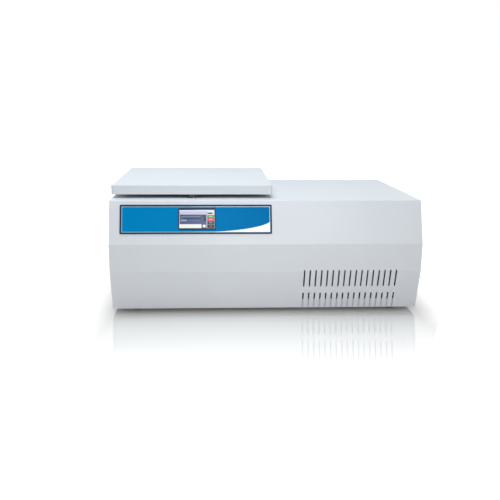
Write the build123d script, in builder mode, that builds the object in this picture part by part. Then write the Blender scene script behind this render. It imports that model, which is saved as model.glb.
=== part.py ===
from build123d import *
import os
from math import cos, hypot, radians, sin

os.makedirs("parts", exist_ok=True)

# Refrigerated bench centrifuge with a four-place cyto rotor, as an assembly of separate pieces.
# Millimetres, +Z up, +X to the right of a person who faces the front, and the front towards -Y.
# The origin is on the bench, under the middle of the overall box.

# ------------------------------------------------------------------ driving dimensions: housing
body_length = 820.0  # left to right
foot_height = 12.0
lower_facet_height = 109.0
middle_facet_height = 74.0
upper_facet_height = 111.0
nose_overhang = 37.0  # crease under the control panel, ahead of the top's front edge
crease_overhang = 33.0  # crease above the vent slots, ahead of the top's front edge
bottom_setback = 4.0  # bottom front edge, behind the top's front edge
sheet = 1.5
bend_radius = 4.0
return_flange = 14.0
side_flange = 12.0
seam = 0.5
pan_upstand = 26.5
step_radius = 2.0  # bends of the step in the base pan
vent_columns = 17
vent_pitch = 15.3
vent_width = 4.0
vent_length = 45.5
vent_upper_length = 51.0
vent_row_gap = 19.4
vent_lap = 4.0  # how far the upper row runs past the crease
vent_right_inset = 187.5  # middle of the vent slots, from the right side
foot_radius = 17.0
foot_inset_x = 60.0
foot_inset_y = 56.0
partition_gap = 7.0  # guard ring to the partition

# ----------------------------------------------------------------- driving dimensions: lid, latch
lid_side_margin = 22.0  # lid, outside the gasket
lid_front_inset = 44.0
lid_rear_overhang = 8.0
lid_gap = 10.0
lid_thickness = 25.0  # at the front
lid_rise = 4.5  # how much thicker the lid is at the rear
lid_corner_radius = 5.0
lid_edge_radius = 2.5
hinge_spread = 280.0
hinge_width = 60.0
hinge_leaf = 2.0
hinge_leaf_depth = 38.0
hinge_barrel_radius = 4.0
hinge_pin_radius = 2.0
hinge_rear_inset = 1.0  # hinge axis ahead of the rear panel
hinge_knuckle_gap = 0.3
latch_inset = 11.0  # hook behind the lid's front edge
prong_width = 6.5
prong_gap = 3.0
prong_depth = 14.0
prong_drop = 24.0  # prong tip below the top
latch_slot_clearance = 3.0
bolt_radius = 4.0
bolt_drop = 15.0  # bolt axis below the top
bolt_guided_length = 30.0  # left in the block when the bolt is shot
bolt_reach = 2.5  # how far the shot bolt enters the keeper
bolt_tip_gap = 2.5
latch_block_length = 50.0
latch_half_depth = 11.0
latch_wall = 3.0
keeper_thickness = 5.0

# ---------------------------------------------------------------- driving dimensions: control panel
panel_left_inset = 28.0
panel_length = 395.0
panel_height = 77.0
panel_top_margin = 12.0
panel_border = 4.0
panel_frame_proud = 1.6
film_thickness = 0.8
display_offset = 2.3  # to the right of the panel's middle
display_slope = 49.5  # display centre, down the slope from the top's front edge
bezel_length = 97.1
bezel_height = 56.7
bezel_proud = 2.0
screen_length = 92.2
screen_height = 49.4
screen_proud = 1.2
screen_body_margin = 7.0
screen_body_depth = 9.0
board_length = 170.0
board_width = 66.0
board_thickness = 1.6
board_standoff = 24.0

# ----------------------------------------------------------------- driving dimensions: rotor chamber
chamber_side_gap = 7.4  # guard ring to the left side panel
chamber_front_gap = 1.9  # guard ring to the latch
chamber_rear_gap = 41.9  # guard ring to the rear panel's outer face
bowl_radius = 175.0
bowl_depth = 129.5
bowl_sheet = 1.2
bowl_corner_radius = 12.0
bowl_flange_width = 23.0
bowl_hole_radius = 38.0
opening_margin = 1.0  # opening of the top, around the bowl
coil_tube_radius = 4.0
coil_pitch = 15.0
coil_turns = 6
coil_lift = 12.0  # first turn above the chamber floor
foam_wall = 16.0
foam_floor = 22.0
guard_thickness = 4.0
guard_height = 148.0
gasket_margin = 3.0  # gasket, around the bowl
gasket_width = 14.0
clearance = 0.3
deck_thickness = 3.0
deck_front_margin = 60.0
deck_rear_margin = 36.0
leg_size = 25.0
leg_sheet = 2.0
pipe_port_radius = 12.0

# --------------------------------------------------------------------- driving dimensions: drive
damper_height = 30.0
damper_radius = 14.0
damper_spacing = 150.0
motor_plate_size = 190.0
motor_plate_thickness = 6.0
motor_radius = 62.0
motor_height = 96.0
motor_boss_radius = 30.0
motor_boss_height = 20.0
motor_clearance = 8.0
shaft_radius = 9.0
stud_radius = 5.0
running_fit = 0.06
rotor_radius = 125.0
rotor_thickness = 28.0
rotor_hub_radius = 27.0
rotor_hub_drop = 24.0
rotor_hub_rise = 8.0
rotor_pocket_half_width = 48.5
pivot_radius = 92.0
pivot_drop = 46.0  # trunnion axis below the top
trunnion_radius = 4.0
trunnion_length = 6.0  # from the pocket's face to the pin's tip
nut_radius = 16.0
nut_height = 12.0

# ------------------------------------------------------------------ driving dimensions: slide carriers
slide_length = 76.0
slide_width = 26.0
slide_thickness = 1.0
slide_recess = 0.8
carrier_inner_half_length = 39.0
carrier_cheek = 3.0
carrier_width = 34.0
carrier_drop = 64.0  # underside below the trunnion axis
carrier_floor = 4.0
carrier_eye_radius = 12.0
trunnion_pad = 5.0
sample_tube_radius = 9.0
sample_tube_wall = 2.0
sample_tube_height = 42.0
sample_base_height = 4.0
sample_port_radius = 3.2

# ------------------------------------------------------------------ driving dimensions: cooling unit
condenser_length = 240.0
condenser_height = 215.0
condenser_depth = 30.0
condenser_clearance = 24.0  # condenser behind the base pan's front upstand
condenser_lift = 26.0
fin_pitch = 6.0
fin_groove = 3.2
end_plate = 2.0
bend_tube_radius = 4.0
fan_radius = 90.0
fan_tip_gap = 5.0
shroud_sheet = 2.0
shroud_depth = 28.0
fan_hub_radius = 22.0
fan_hub_depth = 18.0
fan_blade_count = 5
fan_shaft_radius = 4.0
fan_motor_radius = 32.0
fan_motor_length = 46.0
fan_motor_gap = 9.0
arm_width = 8.0
compressor_inset = 96.0  # compressor's middle, from the partition
compressor_y_from_front = 345.0
compressor_radius = 62.0
compressor_height = 158.0
compressor_base_length = 176.0
compressor_base_width = 124.0
compressor_base_thickness = 4.0
grommet_height = 14.0
grommet_radius = 11.0
drier_radius = 10.0
drier_length = 84.0
suction_radius = 4.0
suction_inlet_rise = 80.0  # above the compressor's base
discharge_radius = 3.0
liquid_radius = 2.5
pipe_bend = 14.0
pipe_side_gap = 30.0  # condenser to the pipes beside it
drier_gap = 40.0  # condenser's middle to the filter drier
pipe_top_gap = 22.0  # hot line below the top
pipe_spacing = 20.0
header_inset = 15.0
liquid_run_inset = 24.0  # liquid line, from the partition
suction_run_inset = 17.0
discharge_offset = 25.0

# -------------------------------------------------------------------- driving dimensions: electrics
drive_unit_length = 90.0
drive_unit_depth = 190.0
drive_unit_height = 130.0
drive_unit_right_gap = 30.0
drive_unit_rear_gap = 44.0
inlet_length = 32.0
inlet_height = 26.0
inlet_depth = 24.0
inlet_proud = 2.0
inlet_flange = 5.0
electrics_lift = 46.0  # power entry centre above the base
inlet_right_inset = 66.0
switch_pitch = 60.0
rocker_width = 20.0
rocker_height = 24.0
rocker_tilt = 8.0
rocker_pin_radius = 2.0
rocker_wall = 2.0
rocker_depth = 6.0
rocker_crown = 3.0
switch_depth = 20.0
screw_head_radius = 4.0
screw_head_height = 2.2
screw_head_rounding = 0.9
screw_shank_radius = 2.0
screw_length = 7.0
screw_inset = 20.0

# ------------------------------------------------------------------------------- derived places
# Round the rotor's axis, from the bowl outwards: coil, foam, guard ring and, on top, the gasket.
opening_radius = bowl_radius + opening_margin
coil_radius = bowl_radius + bowl_sheet + clearance + coil_tube_radius
foam_inner_radius = coil_radius + coil_tube_radius + clearance
foam_outer_radius = foam_inner_radius + foam_wall
guard_inner_radius = foam_outer_radius + clearance
guard_outer_radius = guard_inner_radius + guard_thickness
gasket_inner_radius = bowl_radius + gasket_margin
gasket_outer_radius = gasket_inner_radius + gasket_width

# The top runs from its front edge to the rear panel, and takes in the latch and the chamber.
guard_front = lid_front_inset + latch_inset + latch_half_depth + chamber_front_gap
top_depth = guard_front + 2 * guard_outer_radius + chamber_rear_gap
overall_depth = nose_overhang + top_depth + lid_rear_overhang
y_front = nose_overhang - overall_depth / 2
y_rear = y_front + top_depth
z_bottom = foot_height
z_floor = z_bottom + sheet
z_crease = z_bottom + lower_facet_height
z_nose = z_crease + middle_facet_height
z_top = z_nose + upper_facet_height
z_under_top = z_top - sheet
z_lid = z_top + lid_gap
x_right = body_length / 2
x_left = -x_right
nose = (y_front - nose_overhang, z_nose)
crease = (y_front - crease_overhang, z_crease)
toe = (y_front + bottom_setback, z_bottom)
vent_x = x_right - vent_right_inset
panel_x = x_left + panel_left_inset + panel_length / 2
display_x = panel_x + display_offset

# The chamber lies between the left side panel and the latch, and the lid is centred over it.
latch_y = y_front + lid_front_inset + latch_inset
chamber_x = x_left + sheet + chamber_side_gap + guard_outer_radius
chamber_y = y_front + guard_front + guard_outer_radius
lid_x = chamber_x
lid_length = 2 * (gasket_outer_radius + lid_side_margin)
partition_x = chamber_x + guard_outer_radius + partition_gap
compressor_x = partition_x + compressor_inset
rotor_axis = Axis((chamber_x, chamber_y, 0), (0, 0, 1))

# Work planes that lie on the upper facet and on the lower facet, with Y up the slope.
upper_facet = Plane(
    origin=(0, y_front, z_top),
    x_dir=(1, 0, 0),
    z_dir=(0, -upper_facet_height, nose_overhang),
)
lower_facet = Plane(
    origin=(0, *crease),
    x_dir=(1, 0, 0),
    z_dir=(0, -lower_facet_height, -(crease_overhang + bottom_setback)),
)

# The latch sits in the middle of the lid's front edge.
hook_half_width = prong_gap / 2 + prong_width
latch_slot_length = 2 * (hook_half_width + latch_slot_clearance)
latch_slot_depth = prong_depth + 2 * latch_slot_clearance
bolt_z = z_top - bolt_drop

# ===================================================================================== housing
display_cut_length = screen_length + 2 * clearance
display_cut_height = screen_height + 2 * clearance
upper_vents = vent_lap - vent_upper_length / 2
lower_vents = vent_lap - vent_upper_length - vent_row_gap - vent_length / 2

# Top and faceted front, folded from one sheet.
with BuildPart() as outer_cover:
    with BuildSketch(Plane.YZ):
        with BuildLine():
            FilletPolyline(
                (y_rear, z_top),
                (y_front, z_top),
                nose,
                crease,
                toe,
                (toe[0] + return_flange, z_bottom),
                radius=bend_radius,
            )
            offset(amount=sheet, side=Side.LEFT)
        make_face()
    extrude(amount=body_length / 2, both=True)
    with Locations((chamber_x, chamber_y, z_top)):
        Hole(opening_radius, depth=2 * sheet)
    with Locations((lid_x, latch_y, z_top)):
        Box(latch_slot_length, latch_slot_depth, 4 * sheet, mode=Mode.SUBTRACT)
    with BuildSketch(upper_facet):
        with Locations((display_x, -display_slope)):
            Rectangle(display_cut_length, display_cut_height)
    extrude(amount=2 * sheet, both=True, mode=Mode.SUBTRACT)
    with BuildSketch(lower_facet):
        with Locations((vent_x, upper_vents)):
            with GridLocations(vent_pitch, 1, vent_columns, 1):
                SlotOverall(vent_upper_length, vent_width, rotation=90)
        with Locations((vent_x, lower_vents)):
            with GridLocations(vent_pitch, 1, vent_columns, 1):
                SlotOverall(vent_length, vent_width, rotation=90)
    extrude(amount=2 * sheet, both=True, mode=Mode.SUBTRACT)
outer_cover.part.label = "outer_cover"
export_step(outer_cover.part, "parts/outer_cover.step")


def body_outline(plane, inset):
    """Side view of the body, drawn inset from its outer skin."""
    with BuildSketch(plane) as outline:
        with BuildLine():
            FilletPolyline(
                (y_rear, z_top),
                (y_front, z_top),
                nose,
                crease,
                toe,
                (y_rear, z_bottom),
                (y_rear, z_nose),
                radius=bend_radius,
            )
            Line((y_rear, z_nose), (y_rear, z_top))
        make_face()
        offset(amount=-inset, kind=Kind.INTERSECTION)
    return outline.sketch


# Side panels are shallow trays, flush with the ends of the outer cover.
side_face = body_outline(Plane.YZ.offset(x_left), sheet)
side_hollow = body_outline(Plane.YZ.offset(x_left + sheet), 2 * sheet)
with BuildPart() as left_side_panel:
    extrude(side_face, amount=side_flange, dir=(1, 0, 0))
    extrude(side_hollow, amount=side_flange, dir=(1, 0, 0), mode=Mode.SUBTRACT)
left_side_panel.part.label = "left_side_panel"
export_step(left_side_panel.part, "parts/left_side_panel.step")

with BuildPart() as right_side_panel:
    mirror(left_side_panel.part, about=Plane.YZ)
right_side_panel.part.label = "right_side_panel"
export_step(right_side_panel.part, "parts/right_side_panel.step")

# Base pan: a floor between the two return flanges. Its front edge steps over the cover's flange
# and turns up against the lower facet, behind the lower row of slots.
facet_lean = (crease_overhang + bottom_setback) / lower_facet_height
lap = sheet + seam
pan_front = toe[0] + return_flange + seam
pan_rear = y_rear - return_flange - seam
pan_toe = toe[0] + lap * hypot(1, facet_lean) - lap * facet_lean
pan_crest = pan_toe - (pan_upstand - lap) * facet_lean
pan_end_cut = side_flange + seam
with BuildPart() as base_pan:
    with BuildSketch(Plane.YZ):
        with BuildLine():
            FilletPolyline(
                (pan_crest, z_bottom + pan_upstand),
                (pan_toe, z_bottom + lap),
                (pan_front, z_bottom + lap),
                (pan_front + lap, z_bottom),
                (pan_rear, z_bottom),
                (pan_rear, z_bottom + pan_upstand),
                radius=(bend_radius, step_radius, step_radius, bend_radius),
            )
            offset(amount=sheet, side=Side.LEFT)
        make_face()
    extrude(amount=body_length / 2, both=True)
    with Locations((x_left, 0, z_floor), (x_right, 0, z_floor)):
        Box(
            2 * pan_end_cut,
            top_depth,
            pan_upstand,
            align=(Align.CENTER, Align.CENTER, Align.MIN),
            mode=Mode.SUBTRACT,
        )
base_pan.part.label = "base_pan"
export_step(base_pan.part, "parts/base_pan.step")

# Rear panel with an exhaust grille and the two openings of the power entry.
inlet_x = x_right - inlet_right_inset
switch_x = inlet_x - switch_pitch
electrics_z = z_bottom + electrics_lift
exhaust_z = (z_crease + z_under_top) / 2
screw_columns = 5
screw_rows = 2
screw_z = (z_floor + screw_inset + z_under_top - screw_inset) / 2
screw_span = z_under_top - z_floor - 2 * screw_inset
screw_pitch = (body_length - 2 * screw_inset) / (screw_columns - 1)
switch_body_length = rocker_width + 2 * clearance + 2 * rocker_wall
switch_body_height = rocker_height + 4 * rocker_wall
switch_cut_length = switch_body_length + 2 * clearance
switch_cut_height = switch_body_height + 2 * clearance
rear_face = Plane(origin=(0, y_rear, 0), x_dir=(-1, 0, 0), z_dir=(0, 1, 0))
with BuildPart() as rear_panel:
    with BuildSketch(Plane.YZ):
        with BuildLine():
            FilletPolyline(
                (y_rear, z_under_top),
                (y_rear, z_bottom),
                (y_rear - return_flange, z_bottom),
                radius=bend_radius,
            )
            offset(amount=sheet, side=Side.RIGHT)
        make_face()
    extrude(amount=body_length / 2, both=True)
    with BuildSketch(rear_face):
        with Locations((-vent_x, exhaust_z)):
            with GridLocations(vent_pitch, vent_length + vent_row_gap, vent_columns, 2):
                SlotOverall(vent_length, vent_width, rotation=90)
        with Locations((-inlet_x, electrics_z)):
            Rectangle(inlet_length + 2 * clearance, inlet_height + 2 * clearance)
        with Locations((-switch_x, electrics_z)):
            Rectangle(switch_cut_length, switch_cut_height)
        with Locations((0, screw_z)):
            with GridLocations(screw_pitch, screw_span, screw_columns, screw_rows):
                Circle(screw_shank_radius + running_fit)
    extrude(amount=2 * sheet, both=True, mode=Mode.SUBTRACT)
rear_panel.part.label = "rear_panel"
export_step(rear_panel.part, "parts/rear_panel.step")

with BuildPart() as housing_screws:
    with BuildSketch(rear_face):
        with Locations((0, screw_z)):
            with GridLocations(screw_pitch, screw_span, screw_columns, screw_rows):
                Circle(screw_head_radius)
    extrude(amount=screw_head_height)
    fillet(housing_screws.faces().group_by(Axis.Y)[-1].edges(), screw_head_rounding)
    with BuildSketch(rear_face):
        with Locations((0, screw_z)):
            with GridLocations(screw_pitch, screw_span, screw_columns, screw_rows):
                Circle(screw_shank_radius)
    extrude(amount=-screw_length)
housing_screws.part.label = "housing_screws"
export_step(housing_screws.part, "parts/housing_screws.step")

# Upright sheet between the rotor chamber and the cooling unit, with the two pipe ports.
z_bowl_floor = z_under_top - bowl_depth
z_coil = z_bowl_floor + coil_lift
suction_port_z = z_coil + coil_pitch
liquid_port_z = z_coil + coil_pitch * (coil_turns - 2)
port_heights = (suction_port_z, liquid_port_z)
partition_front = pan_front + bend_radius
partition_rear = pan_rear - bend_radius
with BuildPart() as partition:
    with Locations((partition_x, partition_front, z_floor)):
        Box(
            sheet,
            partition_rear - partition_front,
            z_under_top - z_floor,
            align=(Align.MIN, Align.MIN, Align.MIN),
        )
    with Locations((partition_x + sheet, partition_front, z_floor)):
        Box(
            side_flange,
            partition_rear - partition_front,
            sheet,
            align=(Align.MAX, Align.MIN, Align.MIN),
        )
    for port_z in port_heights:
        with Locations((partition_x, chamber_y, port_z)):
            Cylinder(pipe_port_radius, 4 * sheet, rotation=(0, 90, 0), mode=Mode.SUBTRACT)
partition.part.label = "partition"
export_step(partition.part, "parts/partition.step")

# Four rubber feet, each with a recess for its screw.
foot_spacing_x = body_length - 2 * foot_inset_x
foot_spacing_y = top_depth - 2 * foot_inset_y
foot_y = (y_front + y_rear) / 2
foot_recess_radius = 7.0
foot_recess_depth = 6.0
foot_draft = 3.0
with BuildPart() as feet:
    with Locations((0, foot_y, foot_height)):
        with GridLocations(foot_spacing_x, foot_spacing_y, 2, 2):
            Cone(
                foot_radius - foot_draft,
                foot_radius,
                foot_height,
                align=(Align.CENTER, Align.CENTER, Align.MAX),
            )
    with Locations((0, foot_y, 0)):
        with GridLocations(foot_spacing_x, foot_spacing_y, 2, 2):
            Cylinder(
                foot_recess_radius,
                foot_recess_depth,
                align=(Align.CENTER, Align.CENTER, Align.MIN),
                mode=Mode.SUBTRACT,
            )
feet.part.label = "feet"
export_step(feet.part, "parts/feet.step")

# ========================================================================================= lid
lid_y_front = y_front + lid_front_inset
lid_y_rear = y_rear + lid_rear_overhang
lid_depth = lid_y_rear - lid_y_front
lid_y = (lid_y_front + lid_y_rear) / 2
lid_rear_thickness = lid_thickness + lid_rise
# The lid's top slopes gently up to the rear.
lid_top = Plane(
    origin=(lid_x, lid_y, z_lid + lid_thickness + lid_rise / 2),
    x_dir=(1, 0, 0),
    z_dir=(0, -lid_rise, lid_depth),
)
with BuildPart() as lid_shell:
    with BuildSketch(Plane.XY.offset(z_lid)):
        with Locations((lid_x, lid_y)):
            RectangleRounded(lid_length, lid_depth, lid_corner_radius)
    extrude(amount=2 * lid_rear_thickness)
    split(bisect_by=lid_top, keep=Keep.BOTTOM)
    fillet(lid_shell.faces().sort_by(Axis.Z)[-1].edges(), lid_edge_radius)
    with BuildSketch(lid_top.offset(-sheet)):
        RectangleRounded(
            lid_length - 2 * sheet, lid_depth - 2 * sheet, lid_corner_radius - sheet
        )
    extrude(amount=2 * lid_rear_thickness, dir=(0, 0, -1), mode=Mode.SUBTRACT)
lid_shell.part.label = "lid_shell"
export_step(lid_shell.part, "parts/lid_shell.step")

liner_inset = sheet + clearance
with BuildPart() as lid_liner:
    with BuildSketch(Plane.XY.offset(z_lid)):
        with Locations((lid_x, lid_y)):
            RectangleRounded(
                lid_length - 2 * liner_inset,
                lid_depth - 2 * liner_inset,
                lid_corner_radius - sheet,
            )
    extrude(amount=sheet)
lid_liner.part.label = "lid_liner"
export_step(lid_liner.part, "parts/lid_liner.step")

with BuildPart() as lid_insulation:
    with Locations((lid_x, lid_y, z_lid + sheet)):
        Box(
            lid_length - 2 * (sheet + lid_edge_radius),
            lid_depth - 2 * (sheet + lid_edge_radius),
            2 * lid_rear_thickness,
            align=(Align.CENTER, Align.CENTER, Align.MIN),
        )
    split(bisect_by=lid_top.offset(-sheet), keep=Keep.BOTTOM)
lid_insulation.part.label = "lid_insulation"
export_step(lid_insulation.part, "parts/lid_insulation.step")

# Hinges: two body knuckles at the ends of each, and one lid knuckle between them.
hinge_y = y_rear - hinge_rear_inset
hinge_z = z_top + lid_gap / 2
hinge_centres = (lid_x - hinge_spread / 2, lid_x + hinge_spread / 2)
end_knuckle = hinge_width / 4
middle_knuckle = hinge_width - 2 * end_knuckle - 2 * hinge_knuckle_gap
leaf_rear = hinge_y - hinge_barrel_radius - 1.5 * hinge_knuckle_gap
leaf_front = hinge_y - hinge_leaf_depth
pin_hole_radius = hinge_pin_radius + running_fit
with BuildPart() as body_hinge_leaves:
    for hinge_x in hinge_centres:
        with Locations((hinge_x, leaf_front, z_top)):
            Box(
                hinge_width,
                leaf_rear - leaf_front,
                hinge_leaf,
                align=(Align.CENTER, Align.MIN, Align.MIN),
            )
        for side in (-1, 1):
            knuckle_x = hinge_x + side * (hinge_width - end_knuckle) / 2
            with Locations((knuckle_x, hinge_y, hinge_z)):
                Cylinder(hinge_barrel_radius, end_knuckle, rotation=(0, 90, 0))
            with Locations((knuckle_x, leaf_rear, z_top)):
                Box(
                    end_knuckle,
                    hinge_y - leaf_rear,
                    lid_gap / 2,
                    align=(Align.CENTER, Align.MIN, Align.MIN),
                )
        with Locations((hinge_x, hinge_y, hinge_z)):
            Cylinder(
                pin_hole_radius, 2 * hinge_width, rotation=(0, 90, 0), mode=Mode.SUBTRACT
            )
body_hinge_leaves.part.label = "body_hinge_leaves"
export_step(body_hinge_leaves.part, "parts/body_hinge_leaves.step")

with BuildPart() as lid_hinge_leaves:
    for hinge_x in hinge_centres:
        with Locations((hinge_x, leaf_front, z_lid)):
            Box(
                hinge_width,
                leaf_rear - leaf_front,
                hinge_leaf,
                align=(Align.CENTER, Align.MIN, Align.MAX),
            )
        with Locations((hinge_x, hinge_y, hinge_z)):
            Cylinder(hinge_barrel_radius, middle_knuckle, rotation=(0, 90, 0))
        with Locations((hinge_x, leaf_rear, z_lid)):
            Box(
                middle_knuckle,
                hinge_y - leaf_rear,
                lid_gap / 2,
                align=(Align.CENTER, Align.MIN, Align.MAX),
            )
        with Locations((hinge_x, hinge_y, hinge_z)):
            Cylinder(
                pin_hole_radius, 2 * hinge_width, rotation=(0, 90, 0), mode=Mode.SUBTRACT
            )
lid_hinge_leaves.part.label = "lid_hinge_leaves"
export_step(lid_hinge_leaves.part, "parts/lid_hinge_leaves.step")

with BuildPart() as hinge_pins:
    for hinge_x in hinge_centres:
        with Locations((hinge_x, hinge_y, hinge_z)):
            Cylinder(hinge_pin_radius, hinge_width, rotation=(0, 90, 0))
hinge_pins.part.label = "hinge_pins"
export_step(hinge_pins.part, "parts/hinge_pins.step")

# Hook under the lid: a plate with two prongs, and a square eye that the bolt passes through.
hook_plate_length = 46.0
hook_plate_depth = 18.0
hook_plate_thickness = 2.0
eye_size = 2 * bolt_radius + 1.0
prong_height = lid_gap + prong_drop
with BuildPart() as latch_hook:
    with Locations((lid_x, latch_y, z_lid)):
        Box(
            hook_plate_length,
            hook_plate_depth,
            hook_plate_thickness,
            align=(Align.CENTER, Align.CENTER, Align.MAX),
        )
    for side in (-1, 1):
        prong_x = lid_x + side * (prong_gap + prong_width) / 2
        with Locations((prong_x, latch_y, z_lid)):
            Box(
                prong_width,
                prong_depth,
                prong_height,
                align=(Align.CENTER, Align.CENTER, Align.MAX),
            )
    fillet(latch_hook.edges().group_by(Axis.Z)[0].filter_by(Axis.X), prong_depth / 3)
    with Locations((lid_x, latch_y, bolt_z)):
        Box(4 * prong_width, eye_size, eye_size, mode=Mode.SUBTRACT)
latch_hook.part.label = "latch_hook"
export_step(latch_hook.part, "parts/latch_hook.step")

# Latch housing: a block that guides the bolt, a keeper past the hook, and a bridge under both.
block_right = lid_x - hook_half_width - latch_slot_clearance
block_left = block_right - latch_block_length
keeper_left = lid_x + hook_half_width + latch_slot_clearance
keeper_right = keeper_left + keeper_thickness
bridge_top = z_top - prong_drop - latch_slot_clearance
bridge_bottom = bridge_top - latch_wall
with BuildPart() as latch_housing:
    with Locations((block_left, latch_y, bridge_bottom)):
        Box(
            keeper_right - block_left,
            2 * latch_half_depth,
            z_under_top - bridge_bottom,
            align=(Align.MIN, Align.CENTER, Align.MIN),
        )
    with Locations((block_right, latch_y, bridge_top)):
        Box(
            keeper_left - block_right,
            2 * latch_half_depth,
            z_under_top - bridge_top,
            align=(Align.MIN, Align.CENTER, Align.MIN),
            mode=Mode.SUBTRACT,
        )
    with Locations((lid_x, latch_y, bolt_z)):
        Cylinder(
            bolt_radius + running_fit,
            4 * latch_block_length,
            rotation=(0, 90, 0),
            mode=Mode.SUBTRACT,
        )
latch_housing.part.label = "latch_housing"
export_step(latch_housing.part, "parts/latch_housing.step")

bolt_right = lid_x - hook_half_width - bolt_tip_gap
bolt_travel = keeper_left + bolt_reach - bolt_right
bolt_length = bolt_travel + bolt_guided_length
bolt_chamfer = 1.0
with BuildPart() as latch_bolt:
    with Locations((bolt_right - bolt_length / 2, latch_y, bolt_z)):
        Cylinder(bolt_radius, bolt_length, rotation=(0, 90, 0))
    chamfer(latch_bolt.edges().sort_by(Axis.X)[-1], bolt_chamfer)
latch_bolt.part.label = "latch_bolt"
export_step(latch_bolt.part, "parts/latch_bolt.step")

# =============================================================================== control panel
panel_centre = (panel_x, -(panel_top_margin + panel_height / 2))
film_length = panel_length - 2 * panel_border
film_height = panel_height - 2 * panel_border
display_centre = (display_x, -display_slope)
panel_corner = 3.0
bezel_corner = 2.0
with BuildPart() as panel_frame:
    with BuildSketch(upper_facet):
        with Locations(panel_centre):
            RectangleRounded(panel_length, panel_height, panel_corner)
            Rectangle(film_length, film_height, mode=Mode.SUBTRACT)
    extrude(amount=panel_frame_proud)
panel_frame.part.label = "panel_frame"
export_step(panel_frame.part, "parts/panel_frame.step")

with BuildPart() as panel_film:
    with BuildSketch(upper_facet):
        with Locations(panel_centre):
            Rectangle(film_length, film_height)
        with Locations(display_centre):
            RectangleRounded(bezel_length, bezel_height, bezel_corner, mode=Mode.SUBTRACT)
    extrude(amount=film_thickness)
panel_film.part.label = "panel_film"
export_step(panel_film.part, "parts/panel_film.step")

with BuildPart() as display_bezel:
    with BuildSketch(upper_facet):
        with Locations(display_centre):
            RectangleRounded(bezel_length, bezel_height, bezel_corner)
            Rectangle(display_cut_length, display_cut_height, mode=Mode.SUBTRACT)
    extrude(amount=bezel_proud)
display_bezel.part.label = "display_bezel"
export_step(display_bezel.part, "parts/display_bezel.step")

with BuildPart() as display_screen:
    with BuildSketch(upper_facet.offset(-sheet)):
        with Locations(display_centre):
            Rectangle(screen_length, screen_height)
    extrude(amount=sheet + screen_proud)
    with BuildSketch(upper_facet.offset(-sheet)):
        with Locations(display_centre):
            Rectangle(
                screen_length + 2 * screen_body_margin, screen_height + 2 * screen_body_margin
            )
    extrude(amount=-screen_body_depth)
display_screen.part.label = "display_screen"
export_step(display_screen.part, "parts/display_screen.step")

standoff_radius = 3.0
standoff_inset = 6.0
with BuildPart() as control_board:
    with BuildSketch(upper_facet.offset(-board_standoff)):
        with Locations(display_centre):
            Rectangle(board_length, board_width)
    extrude(amount=-board_thickness)
    with BuildSketch(upper_facet.offset(-board_standoff)):
        with Locations(display_centre):
            with GridLocations(
                board_length - 2 * standoff_inset, board_width - 2 * standoff_inset, 2, 2
            ):
                Circle(standoff_radius)
    extrude(amount=board_standoff - sheet)
control_board.part.label = "control_board"
export_step(control_board.part, "parts/control_board.step")

# =============================================================================== rotor chamber
z_foam = z_bowl_floor - bowl_sheet - foam_floor
chamber_section = Plane(origin=(chamber_x, chamber_y, 0), x_dir=(1, 0, 0), z_dir=(0, -1, 0))
flange_bend_radius = 2.0
with BuildPart() as chamber_bowl:
    with BuildSketch(chamber_section):
        with BuildLine():
            FilletPolyline(
                (bowl_hole_radius, z_bowl_floor),
                (bowl_radius, z_bowl_floor),
                (bowl_radius, z_under_top),
                (bowl_radius + bowl_flange_width, z_under_top),
                radius=(bowl_corner_radius, flange_bend_radius),
            )
            offset(amount=bowl_sheet, side=Side.RIGHT)
        make_face()
    revolve(axis=rotor_axis)
chamber_bowl.part.label = "chamber_bowl"
export_step(chamber_bowl.part, "parts/chamber_bowl.step")

with BuildPart() as evaporator_coil:
    with BuildLine(Plane(origin=(chamber_x, chamber_y, z_coil))) as coil_path:
        Helix(coil_pitch, coil_pitch * coil_turns, coil_radius)
    with BuildSketch(Plane(origin=coil_path.line @ 0, z_dir=coil_path.line % 0)):
        Circle(coil_tube_radius)
    sweep(path=coil_path.line, is_frenet=True)
evaporator_coil.part.label = "evaporator_coil"
export_step(evaporator_coil.part, "parts/evaporator_coil.step")

motor_hole_radius = motor_radius + motor_clearance
foam_top = z_foam + guard_height
with BuildPart() as chamber_insulation:
    with BuildSketch(chamber_section):
        with BuildLine():
            Polyline(
                (motor_hole_radius, z_foam),
                (foam_outer_radius, z_foam),
                (foam_outer_radius, foam_top),
                (foam_inner_radius, foam_top),
                (foam_inner_radius, z_foam + foam_floor),
                (motor_hole_radius, z_foam + foam_floor),
                close=True,
            )
        make_face()
    revolve(axis=rotor_axis)
    for port_z in port_heights:
        with Locations((chamber_x, chamber_y, port_z)):
            Cylinder(
                pipe_port_radius,
                2 * foam_outer_radius,
                rotation=(0, 90, 0),
                align=(Align.CENTER, Align.CENTER, Align.MIN),
                mode=Mode.SUBTRACT,
            )
chamber_insulation.part.label = "chamber_insulation"
export_step(chamber_insulation.part, "parts/chamber_insulation.step")

# Steel ring that would hold back a failed rotor.
with BuildPart() as guard_ring:
    with BuildSketch(Plane.XY.offset(z_foam)):
        with Locations((chamber_x, chamber_y)):
            Circle(guard_outer_radius)
            Circle(guard_inner_radius, mode=Mode.SUBTRACT)
    extrude(amount=guard_height)
    for port_z in port_heights:
        with Locations((chamber_x, chamber_y, port_z)):
            Cylinder(
                pipe_port_radius,
                2 * guard_outer_radius,
                rotation=(0, 90, 0),
                align=(Align.CENTER, Align.CENTER, Align.MIN),
                mode=Mode.SUBTRACT,
            )
guard_ring.part.label = "guard_ring"
export_step(guard_ring.part, "parts/guard_ring.step")

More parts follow.
